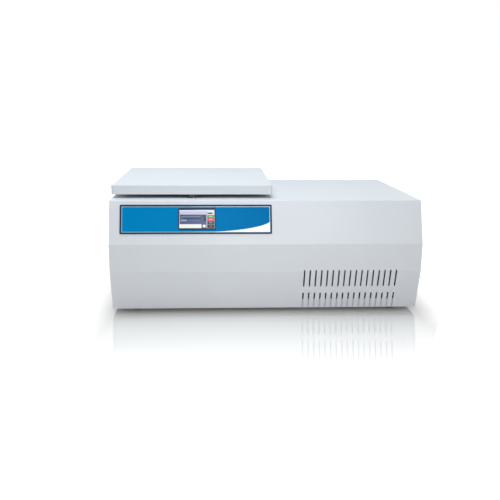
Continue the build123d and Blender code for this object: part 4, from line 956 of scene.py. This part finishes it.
# ------------------------------------------------------------------------------ small hardware
@dataclass(frozen=True)
class CrossScrew:
    """Screw with a rounded head and a cross recess."""

    radius: float = 0.004
    height: float = 0.0022
    rounding: float = 0.0009
    shank_radius: float = 0.002
    shank_length: float = 0.007
    recess_reach: float = 0.0023
    recess_half: float = 0.00055
    recess_depth: float = 0.0013
    recess_steps: tuple[tuple[float, float], ...] = (
        (0.15, 1.0), (0.6, 0.9), (1.0, 0.2), (1.05, 0.0)
    )
    rim_steps: int = 5
    golden_turn: float = 2.4

    def rings(self) -> np.ndarray:
        """Rings from the recess's floor over the head's rim to the shank's end, with Z outward.

        The recess's outline is r = min(reach / cos a, half / sin a), with a folded into an eighth
        of a turn, and its steps are shares of that outline and of its depth. The rim is a quarter
        circle: radius - rounding (1 - sin t), height - rounding (1 - cos t).

        Returns:
            Array of shape (rings, points, 3).
        """
        corner = math.atan(self.recess_half / self.recess_reach)
        eighth = np.array([0.0, corner / 2, corner, (corner + math.pi / 4) / 2])
        quarter = np.concatenate([eighth, [math.pi / 4], math.pi / 2 - eighth[:0:-1]])
        angle = (np.arange(4)[:, None] * math.pi / 2 + quarter).ravel()
        folded = np.abs((angle + math.pi / 4) % (math.pi / 2) - math.pi / 4)
        sine = np.maximum(np.sin(folded), TINY)
        cross = np.minimum(self.recess_reach / np.cos(folded), self.recess_half / sine)
        turn = np.linspace(0, math.pi / 2, self.rim_steps)
        rim = self.radius - self.rounding * (1 - np.sin(turn))
        drop = self.height - self.rounding * (1 - np.cos(turn))
        levels = [
            (reach * cross, self.height - sunk * self.recess_depth)
            for reach, sunk in self.recess_steps
        ]
        levels += [(0 * cross + r, h) for r, h in zip(rim, drop)]
        levels += [(0 * cross + self.radius, 0.0)]
        levels += [(0 * cross + self.shank_radius, h) for h in (0.0, -self.shank_length)]
        circle = np.stack([np.cos(angle), np.sin(angle)], -1)
        return lines_at([(r[:, None] * circle, h) for r, h in levels])

    def build(self, name: str, places: list[Point], out: Point) -> Piece:
        """Builds screws at several places as one piece, each turned by a different angle.

        Args:
            name: The object's name.
            places: Where each head sits on its sheet.
            out: Unit vector out of the sheet.

        Returns:
            The piece.
        """
        rings = self.rings()
        turns = [self.golden_turn * number for number in range(len(places))]
        stacks = [placed(rings, facing(place, out, turn)) for place, turn in zip(places, turns)]
        return loft(name, np.stack(stacks))


# ------------------------------------------------------------------------------------ assemblies
class Assembly:
    """A sub-assembly of the machine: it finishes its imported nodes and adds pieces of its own."""

    coats: dict[Coating, tuple[str, ...]] = {}

    def pieces(self) -> list[Added]:
        """Gives the new pieces, each with its body, its material slot and its finish."""
        return []

    def dress(self, shop: Paintshop) -> None:
        """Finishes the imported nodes, then joins the new pieces to their bodies.

        Args:
            shop: Where finishes are built.
        """
        for finish, nodes in self.coats.items():
            for name in nodes:
                shop.coat(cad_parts[name], finish)
        for added in self.pieces():
            shop.join(*added)


@dataclass
class Housing(Assembly):
    """Folded cover, side and rear panels, base pan, screws and feet."""

    coats = {
        POWDER_COAT: ("outer_cover", "left_side_panel", "right_side_panel", "rear_panel"),
        PAN_SLOT_FITTED_GREY: ("base_pan",),
        ZINCED: ("partition", "chamber_frame"),
        SCREW_STEEL: ("housing_screws",),
        RUBBER: ("feet",),
    }
    screw: CrossScrew = CrossScrew()
    screw_columns: int = 5

    def screws(self) -> Piece:
        """Screws of the rear panel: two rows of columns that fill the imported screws' box.

        Returns:
            The piece.
        """
        low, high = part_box("housing_screws")
        inset = self.screw.radius
        x = np.linspace(low[0] + inset, high[0] - inset, self.screw_columns)
        z = (low[2] + inset, high[2] - inset)
        face = high[1] - self.screw.height
        places = [(across, face, level) for level in z for across in x.tolist()]
        screws = self.screw.build("rear_screws", places, (0.0, 1.0, 0.0))
        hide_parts("housing_screws")
        return screws

    def pieces(self) -> list[Added]:
        """Gives the rear screws."""
        return [(self.screws(), "housing", "screw_steel", SCREW_STEEL)]


class Side(Enum):
    """The way that a hinge leaf's open face looks, as a sign along Z."""

    UP = 1.0
    DOWN = -1.0


@dataclass
class Lid(Assembly):
    """Flat lid with its liner, hinges and latch."""

    coats = {
        POWDER_COAT: ("lid_shell",),
        LINER: ("lid_liner",),
        FOAM: ("lid_insulation",),
        ZINCED: ("body_hinge_leaves", "lid_hinge_leaves", "latch_housing"),
        PIN_STEEL: ("hinge_pins", "latch_bolt"),
        BLACK_OXIDE: ("latch_hook",),
    }
    leaf_screw: CrossScrew = CrossScrew(
        radius=0.0033, height=0.0004, rounding=0.0003, shank_radius=0.0016, shank_length=0.0018,
        recess_reach=0.0019, recess_half=0.0005, recess_depth=0.0007,
    )
    hinge_centres: tuple[float, float] = (-0.336, -0.056)
    leaf_screw_spread: float = 0.02
    leaf_screw_inset: float = 0.0145
    leaf: float = 0.002
    rivet_radius: float = 0.003
    rivet_height: float = 0.0011
    rivet_inset: float = 0.01
    rivet_rows: int = 5
    dome_points: int = 24
    dome_rings: int = 6
    dome_reach: float = math.radians(85)

    def leaf_screws(self, name: str, node: str, side: Side) -> Piece:
        """Countersunk screws of one pair of hinge leaves, three in each leaf.

        Args:
            name: The object's name.
            node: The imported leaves.
            side: The way that the leaves' open faces look.

        Returns:
            The piece.
        """
        low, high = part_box(node)
        height = low[2] + self.leaf if side is Side.UP else high[2] - self.leaf
        spread = (-self.leaf_screw_spread, 0.0, self.leaf_screw_spread)
        depth = low[1] + self.leaf_screw_inset
        places = [(middle + off, depth, height) for middle in self.hinge_centres for off in spread]
        return self.leaf_screw.build(name, places, (0.0, 0.0, side.value))

    def rivets(self) -> Piece:
        """Domed rivets along the liner's two sides: radius R cos t and drop H sin t.

        Returns:
            The piece.
        """
        low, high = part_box("lid_liner")
        x = (low[0] + self.rivet_inset, high[0] - self.rivet_inset)
        y = np.linspace(low[1] + self.rivet_inset, high[1] - self.rivet_inset, self.rivet_rows)
        across, along = (part.ravel() for part in np.meshgrid(x, y, indexing="ij"))
        middles = np.stack([across, along, 0 * across + low[2]], -1)
        angle = np.linspace(0, 2 * math.pi, self.dome_points, endpoint=False)
        turn = np.linspace(0, self.dome_reach, self.dome_rings)[:, None]
        radius, drop = self.rivet_radius * np.cos(turn), -self.rivet_height * np.sin(turn)
        dome = np.stack([radius * np.cos(angle), radius * np.sin(angle), drop + 0 * angle], -1)
        return loft("liner_rivets", middles[:, None, None, :] + dome[None])

    def pieces(self) -> list[Added]:
        """Gives the screws of both pairs of leaves, and the liner's rivets.

        Returns:
            Each piece with its body, its material slot and its finish.
        """
        fixed = self.leaf_screws("body_leaf_screws", "body_hinge_leaves", Side.UP)
        moving = self.leaf_screws("lid_leaf_screws", "lid_hinge_leaves", Side.DOWN)
        return [
            (fixed, "housing", "screw_steel", SCREW_STEEL),
            (moving, "lid", "screw_steel", SCREW_STEEL),
            (self.rivets(), "lid", "zinc_steel", PIN_STEEL),
        ]


@dataclass
class ScreenTile:
    """One field of the display picture: its place as shares of the screen, and its colour."""

    left: float
    top: float
    right: float
    bottom: float
    colour: Colour
    level: int = 1
    corner: float = 0.0


@dataclass
class ControlPanel(Assembly):
    """Sloping panel: frame, printed film, display and its picture."""

    coats = {
        BEZEL_PLASTIC: ("panel_frame", "display_bezel"),
        FILM: ("panel_film",),
        SCREEN_BACK: ("display_screen",),
        BOARD: ("control_board",),
    }
    top_front: Point = (0.0, -0.2455, 0.306)
    rise: float = 0.111
    overhang: float = 0.037
    film_left: float = -0.378
    film_right: float = 0.009
    film_top: float = 0.016
    film_bottom: float = 0.085
    film_thickness: float = 0.0008
    keyline_width: float = 0.0022
    keyline_gap: float = 0.0002
    keyline_corners: tuple[float, float] = (0.001, 0.003)
    ink: float = 0.00008
    sweep_start: float = -0.2
    sweep_end: float = 0.0115
    sweep_height: float = 0.034
    sweep_cut: float = 0.02
    sweep_ink: float = 1.6
    sweep_steps: int = 64
    sweep_tip: float = 0.00002
    screen_middle: tuple[float, float] = (-0.1829, 0.05)
    screen_size: tuple[float, float] = (0.0908, 0.0478)
    screen_proud: float = 0.0012
    tile_step: float = 0.00004
    tile_corner: float = 0.00005
    tile_roundest: float = 0.499
    tile_corner_points: int = 6

    def place(self) -> np.ndarray:
        """Gives the panel's own frame: X along it, Y down the slope, and Z their cross product.

        Returns:
            A 4 x 4 matrix.
        """
        down = np.array([0.0, -self.overhang, -self.rise])
        down /= np.linalg.norm(down)
        along = np.array([1.0, 0.0, 0.0])
        return frame_of(along, down, np.cross(down, along), self.top_front)

    def keyline(self) -> Piece:
        """Pale line just inside the frame: a flat section carried round a rounded rectangle.

        Returns:
            The piece.
        """
        width = self.film_right - self.film_left
        height = self.film_bottom - self.film_top
        middle = ((self.film_right + self.film_left) / 2, (self.film_bottom + self.film_top) / 2)
        outer, inner = (
            rounded_rectangle(width - 2 * inset, height - 2 * inset, corner) + middle
            for inset, corner in zip((self.keyline_gap, self.keyline_width), self.keyline_corners)
        )
        low, high = self.film_thickness, self.film_thickness + self.ink
        rings = lines_at([(outer, low), (outer, high), (inner, high), (inner, low)], 1)
        return loft("panel_keyline", placed(rings, self.place()), closed=True)

    def sweep(self) -> Piece:
        """White corner: its upper edge is H (1 - sqrt(1 - t t)), a quarter of a long ellipse.

        Returns:
            The piece.
        """
        edge = self.keyline_width
        left, right = self.sweep_start + self.sweep_cut, self.film_right - edge / 2
        x = np.linspace(left, right, self.sweep_steps)
        share = (x - self.sweep_start) / (self.sweep_end - self.sweep_start)
        height = self.sweep_height * (1 - np.sqrt(np.clip(1 - share**2, 0, 1)))
        base = self.film_bottom - edge / 2
        crest = np.stack([x, np.minimum(self.film_bottom - height, base - self.sweep_tip)], -1)
        foot = np.stack([x, np.full(x.shape, base)], -1)
        low, high = self.film_thickness, self.film_thickness + self.sweep_ink * self.ink
        rings = lines_at([(foot, low), (foot, high), (crest, high), (crest, low)], 1)
        return loft("panel_white_corner", placed(rings, self.place()))

    def picture(self) -> Piece:
        """Display picture: thin bevelled tiles in layers, each with its own colour on its faces.

        Returns:
            The piece.
        """
        navy, slate, deep = (0.015, 0.015, 0.08), (0.095, 0.13, 0.24), (0.055, 0.078, 0.14)
        rows = [
            (0.0, 0.0, 1.0, 1.0, (0.5, 0.5, 0.66), 0),
            (0.0, 0.0, 1.0, 0.06, (0.9, 0.88, 0.95)),
            (0.03, 0.06, 0.78, 0.235, (0.62, 0.63, 0.82)),
            (0.8, 0.06, 1.0, 0.26, (0.82, 0.84, 0.9)),
            (0.02, 0.25, 0.775, 0.775, slate),
            (0.14, 0.265, 0.62, 0.335, (0.09, 0.12, 0.28), 2),
            (0.04, 0.265, 0.11, 0.335, (0.05, 0.08, 0.15), 2),
            (0.04, 0.35, 0.6, 0.39, (0.25, 0.29, 0.42), 2),
            (0.13, 0.41, 0.62, 0.5, deep, 2),
            (0.04, 0.53, 0.22, 0.61, (0.34, 0.4, 0.5), 2),
            (0.26, 0.53, 0.6, 0.61, (0.13, 0.17, 0.28), 2),
            (0.16, 0.66, 0.62, 0.75, (0.1, 0.14, 0.33), 2),
            (0.04, 0.66, 0.12, 0.75, (0.09, 0.16, 0.17), 2),
            (0.66, 0.29, 0.765, 0.36, (0.05, 0.06, 0.2), 2),
            (0.7, 0.38, 0.765, 0.62, (0.03, 0.07, 0.13), 2),
            (0.0, 0.785, 0.635, 0.99, (0.95, 0.95, 0.93)),
            (0.64, 0.785, 0.775, 1.0, (0.03, 0.035, 0.07)),
            (0.662, 0.805, 0.765, 0.965, (0.88, 0.87, 0.95), 2, 0.5),
            (0.805, 0.14, 0.955, 0.215, navy, 2, 0.4),
            (0.8, 0.275, 1.0, 0.425, (0.06, 0.42, 0.09), 1, 0.08),
            (0.8, 0.435, 1.0, 0.6, (0.78, 0.06, 0.09), 1, 0.08),
            (0.8, 0.615, 1.0, 0.78, (0.045, 0.06, 0.09), 1, 0.08),
            (0.8, 0.795, 1.0, 0.99, (0.03, 0.045, 0.055), 1, 0.08),
            (0.85, 0.33, 0.95, 0.37, (0.5, 0.75, 0.5), 2, 0.3),
            (0.85, 0.5, 0.95, 0.54, (0.9, 0.6, 0.55), 2, 0.3),
            (0.86, 0.68, 0.94, 0.715, (0.4, 0.46, 0.55), 2, 0.3),
            (0.88, 0.875, 0.92, 0.91, (0.4, 0.42, 0.4), 2, 0.3),
        ]
        width, height = self.screen_size
        left = self.screen_middle[0] - width / 2
        top = self.screen_middle[1] - height / 2
        points, faces, tints = [], [], []
        for tile in (ScreenTile(*row) for row in rows):
            size = ((tile.right - tile.left) * width, (tile.bottom - tile.top) * height)
            middle = (
                left + (tile.left + tile.right) / 2 * width,
                top + (tile.top + tile.bottom) / 2 * height,
            )
            roundest = self.tile_roundest * min(size)
            corner = min(max(self.tile_corner, tile.corner * min(size)), roundest)
            outline = rounded_rectangle(*size, corner, self.tile_corner_points) + middle
            high = self.screen_proud + self.tile_step * (tile.level + 1)
            rings = plate_rings(outline, self.screen_proud, high, BEVEL)
            count, around = rings.shape[:2]
            sides = grid_faces(count, around, False, True) + len(tints)
            cap = np.arange((count - 1) * around, count * around) + len(tints)
            faces += [face[::-1] for face in [*sides.tolist(), cap.tolist()]]
            points.append(rings.reshape(-1, 3))
            tints += [tile.colour] * count * around
        mesh = bpy.data.meshes.new("screen_picture")
        mesh.from_pydata(placed(np.concatenate(points), self.place()).tolist(), [], faces)
        layer = mesh.attributes.new("tint", "FLOAT_COLOR", "POINT")
        colours = np.concatenate([np.array(tints), np.ones((len(tints), 1))], 1)
        layer.data.foreach_set("color", colours.astype(np.float32).ravel())
        return linked("screen_picture", mesh)

    def pieces(self) -> list[Added]:
        """Gives the print and the picture."""
        return [
            (self.keyline(), "housing", "blue_film", INK_LINE),
            (self.sweep(), "housing", "blue_film", INK_WHITE),
            (self.picture(), "housing", "screen_glass", PICTURE),
        ]


class RotorChamber(Assembly):
    """Bowl, coil, insulation, guard and gasket."""

    coats = {
        BOWL_STEEL: ("chamber_bowl",),
        COPPER: ("evaporator_coil",),
        FOAM: ("chamber_insulation",),
        GUARD_STEEL: ("guard_ring",),
        GASKET: ("chamber_gasket",),
    }


@dataclass
class Drive(Assembly):
    """Motor on its dampers, boot, shaft, rotor head, pins and nut."""

    coats = {
        RUBBER: ("motor_dampers", "shaft_boot"),
        ZINCED: ("motor_plate",),
        MOTOR_BLACK: ("drive_motor",),
        PIN_STEEL: ("motor_shaft", "rotor_pins"),
        ROTOR_ALLOY: ("rotor_head", "rotor_nut"),
    }
    number_circle: float = 0.048
    number_height: float = 0.013
    number_thickness: float = 0.00005
    hub_rise: float = 0.008

    def place_number(self, number: int) -> Piece:
        """Marks the number of a carrier's place on the rotor head, to be read from outside.

        Args:
            number: Place, counted from 1 round the axis.

        Returns:
            The piece.
        """
        font = bpy.data.curves.new("number", "FONT")
        font.body, font.size, font.extrude = str(number), self.number_height, self.number_thickness
        font.align_x, font.align_y = "CENTER", "CENTER"
        drawn = bpy.data.objects.new("number", font)
        mesh = bpy.data.meshes.new_from_object(drawn)
        flat = np.empty(3 * len(mesh.vertices))
        mesh.vertices.foreach_get("co", flat)
        faces = [tuple(face.vertices) for face in mesh.polygons]
        bpy.data.objects.remove(drawn)
        angle = 2 * math.pi * (number - 1) / len(PLACE_NUMBERS)
        radial = np.array([math.cos(angle), math.sin(angle), 0.0])
        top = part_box("rotor_head")[1][2] - self.hub_rise
        origin = self.number_circle * radial + (*CHAMBER_CENTRE, top)
        place = frame_of((-radial[1], radial[0], 0.0), -radial, (0.0, 0.0, 1.0), origin)
        return mesh_object(f"place_number_{number}", placed(flat.reshape(-1, 3), place), faces)

    def pieces(self) -> list[Added]:
        """Gives the numbers of the head's places."""
        numbers = [self.place_number(number) for number in PLACE_NUMBERS]
        return [(number, "rotor", "rotor_alloy", MARK_GREY) for number in numbers]


class SlideCarriers(Assembly):
    """Four swinging carriers, each with a slide and a sample chamber."""

    coats = {
        CARRIER_ALLOY: tuple(f"slide_carrier_{number}" for number in PLACE_NUMBERS),
        TUBE_PLASTIC: tuple(f"sample_chamber_{number}" for number in PLACE_NUMBERS),
        SLIDE_GLASS: tuple(f"glass_slide_{number}" for number in PLACE_NUMBERS),
    }


class CoolingUnit(Assembly):
    """Condenser with its fan, compressor, drier and pipes."""

    coats = {
        FINS: ("condenser",),
        ZINCED: ("fan_shroud",),
        MOTOR_BLACK: ("fan_motor", "compressor"),
        BLACK_PLASTIC: ("fan_blades",),
        RUBBER: ("compressor_grommets",),
        COPPER: ("filter_drier", "refrigerant_pipes"),
    }


@dataclass
class Electrics(Assembly):
    """Drive unit, mains inlet and mains switch."""

    coats = {
        HEATSINK: ("drive_unit",),
        BLACK_PLASTIC: ("power_inlet", "switch_frame", "mains_rocker"),
    }
    rocker_axis: Point = (0.284, 0.274, 0.058)
    rocker_height: float = 0.024
    rocker_crown: float = 0.003
    rocker_tilt: float = math.radians(8.0)
    mark_radius: float = 0.0026
    mark_line: float = 0.0007
    mark_corner: float = 0.0001
    mark_thickness: float = 0.00006

    def rocker_faces(self) -> tuple[np.ndarray, np.ndarray]:
        """Gives frames in the middle of the rocker's pressed upper half and its raised lower half.

        At rest the ridge leans by the tilt, so the upper half stands upright and the lower half
        leans out by twice the tilt.

        Returns:
            The two 4 x 4 matrices.
        """
        tilt, reach = self.rocker_tilt, self.rocker_height / 4 / math.cos(self.rocker_tilt)
        axis = np.array(self.rocker_axis)
        ridge = axis + self.rocker_crown * np.array([0.0, math.cos(tilt), math.sin(tilt)])
        lower = ridge + reach * np.array([0.0, math.sin(2 * tilt), -math.cos(2 * tilt)])
        upper = ridge + reach * np.array([0.0, 0.0, 1.0])
        out = (0.0, math.cos(2 * tilt), math.sin(2 * tilt))
        return facing(tuple(upper), (0.0, 1.0, 0.0)), facing(tuple(lower), out)

    def off_mark(self, place: np.ndarray) -> Piece:
        """Ring that marks the switch's off side: a flat section turned about the face's normal.

        Args:
            place: Matrix of the half's middle.

        Returns:
            The piece.
        """
        inner, outer = self.mark_radius - self.mark_line, self.mark_radius
        high = self.mark_thickness
        section = np.array([(inner, 0.0), (outer, 0.0), (outer, high), (inner, high)])
        return turned("switch_off_mark", section, place)

    def on_mark(self, place: np.ndarray) -> Piece:
        """Bar that marks the switch's on side: a thin plate with rounded corners.

        Args:
            place: Matrix of the half's middle.

        Returns:
            The piece.
        """
        bar = rounded_rectangle(self.mark_line, 2 * self.mark_radius, self.mark_corner, steps=4)
        rings = plate_rings(bar, 0.0, self.mark_thickness, BEVEL)
        return loft("switch_on_mark", placed(rings, place))

    def pieces(self) -> list[Added]:
        """Gives the switch's two marks."""
        makers = zip((self.off_mark, self.on_mark), self.rocker_faces())
        return [(make(half), "mains_switch", "black_plastic", MARK_WHITE) for make, half in makers]


# ---------------------------------------------------------------------------------------- studio
@dataclass(frozen=True)
class Softbox:
    """A square area lamp that looks at the machine."""

    name: str
    place: Point
    target: Point
    size: float
    power: float
    colour: Colour = WHITE

    def build(self) -> None:
        """Adds the lamp. Its axis is the line from its place to its target."""
        lamp = bpy.data.lights.new(self.name, "AREA")
        lamp.shape, lamp.size = "SQUARE", self.size
        lamp.energy, lamp.color = self.power, self.colour
        aim = np.array(self.target) - np.array(self.place)
        linked(self.name, lamp).matrix_world = look_along(aim, self.place)


def look_along(forward: np.ndarray, place: Point) -> Matrix:
    """Gives the matrix of a lamp whose -Z looks forward and whose Y is up.

    Args:
        forward: Where it looks, of any length.
        place: Where it stands.

    Returns:
        A 4 x 4 matrix.
    """
    back = -forward / np.linalg.norm(forward)
    right = np.cross([0.0, 0.0, 1.0], back)
    right /= np.linalg.norm(right)
    return Matrix(frame_of(right, np.cross(back, right), back, place).tolist())


def turn_about(axis: int, angle: float) -> np.ndarray:
    """Gives a turn about X, Y or Z: the other two axes mix by cos a, -sin a and sin a, cos a.

    Args:
        axis: 0, 1 or 2.
        angle: The turn, in radians.

    Returns:
        A 3 x 3 matrix.
    """
    matrix = np.eye(3)
    first, second = (axis + 1) % 3, (axis + 2) % 3
    matrix[first, first] = matrix[second, second] = math.cos(angle)
    matrix[first, second], matrix[second, first] = -math.sin(angle), math.sin(angle)
    return matrix


@dataclass
class Studio:
    """Pale floor and surroundings, soft lamps and the camera."""

    floor_reach: float = 14.0
    floor_points: int = 9
    floor_colour: Colour = (0.76, 0.745, 0.73)
    floor_roughness: float = 0.0
    floor_index: float = 2.1
    floor_glow: tuple[float, float] = (0.06, 0.55)
    fade: float = 0.5
    fade_sideways: float = 6.0
    world_colour: Colour = (0.99, 1.0, 1.0)
    world_strength: float = 0.3
    camera_place: Point = (-0.1338, -2.1127, 0.5542)
    lens: float = 51.7
    sensor: float = 36.0
    pitch: float = 11.525
    roll: float = -0.343
    yaw: float = -2.787
    lamps: tuple[Softbox, ...] = (
        Softbox(
            "overhead softbox", (-0.3, -0.25, 1.7), (-0.2, 0.0, 0.3), 1.2, 14.8, (0.85, 0.95, 1.0)
        ),
        Softbox(
            "front softbox", (0.03, -1.25, 0.65), (0.03, -0.28, 0.15), 0.5, 3.9, (1.0, 0.99, 0.97)
        ),
        Softbox("rear left softbox", (-1.7, 1.7, 1.3), (0.0, 0.1, 0.15), 1.5, 7.0),
        Softbox("rear right softbox", (1.7, 1.7, 1.3), (0.0, 0.1, 0.15), 1.5, 7.0),
    )

    def floor(self) -> None:
        """Adds a wide glossy floor with painted light: a glow that keeps the machine's shadow close
        in front and brightens the rest to white.
        """
        steps = np.linspace(-self.floor_reach, self.floor_reach, self.floor_points)
        x, y = np.meshgrid(steps, steps, indexing="ij")
        points = np.stack([x, y, 0 * x], -1).reshape(-1, 3)
        faces = grid_faces(self.floor_points, self.floor_points, False, False)[:, ::-1]
        mesh = bpy.data.meshes.new("studio_floor")
        mesh.from_pydata(points.tolist(), [], faces.tolist())
        ground = linked("studio_floor", mesh)
        material, graph, shader = new_material("studio floor")
        graph.feed(
            shader, Base_Color=(*self.floor_colour, 1.0), Roughness=self.floor_roughness,
            IOR=self.floor_index,
        )
        # Painted light: a glow for camera and glossy rays, weak next to the footprint and full from
        # fade away, which washes out the floor's shadow; sideways distances count fade_sideways
        # times, so the shadow beside the machine's ends is washed out close to them.
        away = graph.remap(self.clearance(graph), 0.0, self.fade, *self.floor_glow)
        glow = graph.add("Emission", Strength=graph.maths("MULTIPLY", away, self.seen(graph)))
        both = graph.add("AddShader", in0=shader.outputs[0], in1=glow.outputs[0])
        graph.feed(graph.tree.nodes["Material Output"], Surface=both.outputs[0])
        mesh.materials.append(material)

    def clearance(self, graph: Graph) -> Socket:
        """Gives the way |(s, 1, 1) max(|p| - half size, 0)| from the footprint, s being sideways.

        Args:
            graph: The floor's graph.

        Returns:
            The distance.
        """
        half = tuple((high - low) / 2 for low, high in zip(*cad_bounds))
        outside = graph.vector("SUBTRACT", graph.vector("ABSOLUTE", graph.place()), half)
        kept = graph.vector("MAXIMUM", outside, ZERO)
        scaled = graph.vector("MULTIPLY", kept, (self.fade_sideways, 1.0, 1.0))
        return graph.vector("LENGTH", scaled, output="Value")

    @staticmethod
    def seen(graph: Graph) -> Socket:
        """Gives 1 for camera, glossy and transmission rays, and 0 for light that falls on things.

        Args:
            graph: The graph of the floor or the world.

        Returns:
            The number.
        """
        path = graph.add("LightPath").outputs
        either = graph.maths("MAXIMUM", path["Is Camera Ray"], path["Is Glossy Ray"])
        return graph.maths("MAXIMUM", either, path["Is Transmission Ray"])

    def world(self) -> None:
        """Sets an even pale light from all round, which the camera sees as white."""
        sky = bpy.data.worlds.new("studio world")
        sky.use_nodes = True
        sky.node_tree.nodes.clear()
        graph = Graph(sky.node_tree)
        light = graph.add(
            "Background", Color=(*self.world_colour, 1.0), Strength=self.world_strength
        ).outputs[0]
        white = graph.add("Background", Color=(*WHITE, 1.0), Strength=1.0).outputs[0]
        mixed = graph.add("MixShader", in0=self.seen(graph), in1=light, in2=white)
        graph.add("OutputWorld", Surface=mixed.outputs[0])
        bpy.context.scene.world = sky

    def camera(self) -> None:
        """Adds the camera: turned by yaw about Z, pitched down, then rolled about its own axis."""
        yaw, pitch, roll = (math.radians(angle) for angle in (self.yaw, self.pitch, self.roll))
        axes = turn_about(2, yaw) @ turn_about(0, -pitch) @ turn_about(1, roll)
        data = bpy.data.cameras.new("camera")
        data.lens, data.sensor_width = self.lens, self.sensor
        holder = linked("camera", data)
        matrix = frame_of(axes[:, 0], axes[:, 2], -axes[:, 1], self.camera_place)
        holder.matrix_world = Matrix(matrix.tolist())
        bpy.context.scene.camera = holder

    def build(self) -> None:
        """Builds the whole studio."""
        bpy.context.scene.view_settings.view_transform = "Standard"
        self.floor()
        self.world()
        for lamp in self.lamps:
            lamp.build()
        self.camera()


def main() -> None:
    """Builds the studio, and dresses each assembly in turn."""
    logging.basicConfig(level=logging.INFO, format="%(name)s %(message)s")
    Studio().build()
    shop = Paintshop()
    assemblies = (
        Housing(), Lid(), ControlPanel(), RotorChamber(), Drive(), SlideCarriers(), CoolingUnit(),
        Electrics(),
    )
    for assembly in assemblies:
        log.info("dressing %s", type(assembly).__name__)
        assembly.dress(shop)


if __name__ == "__main__":
    main()
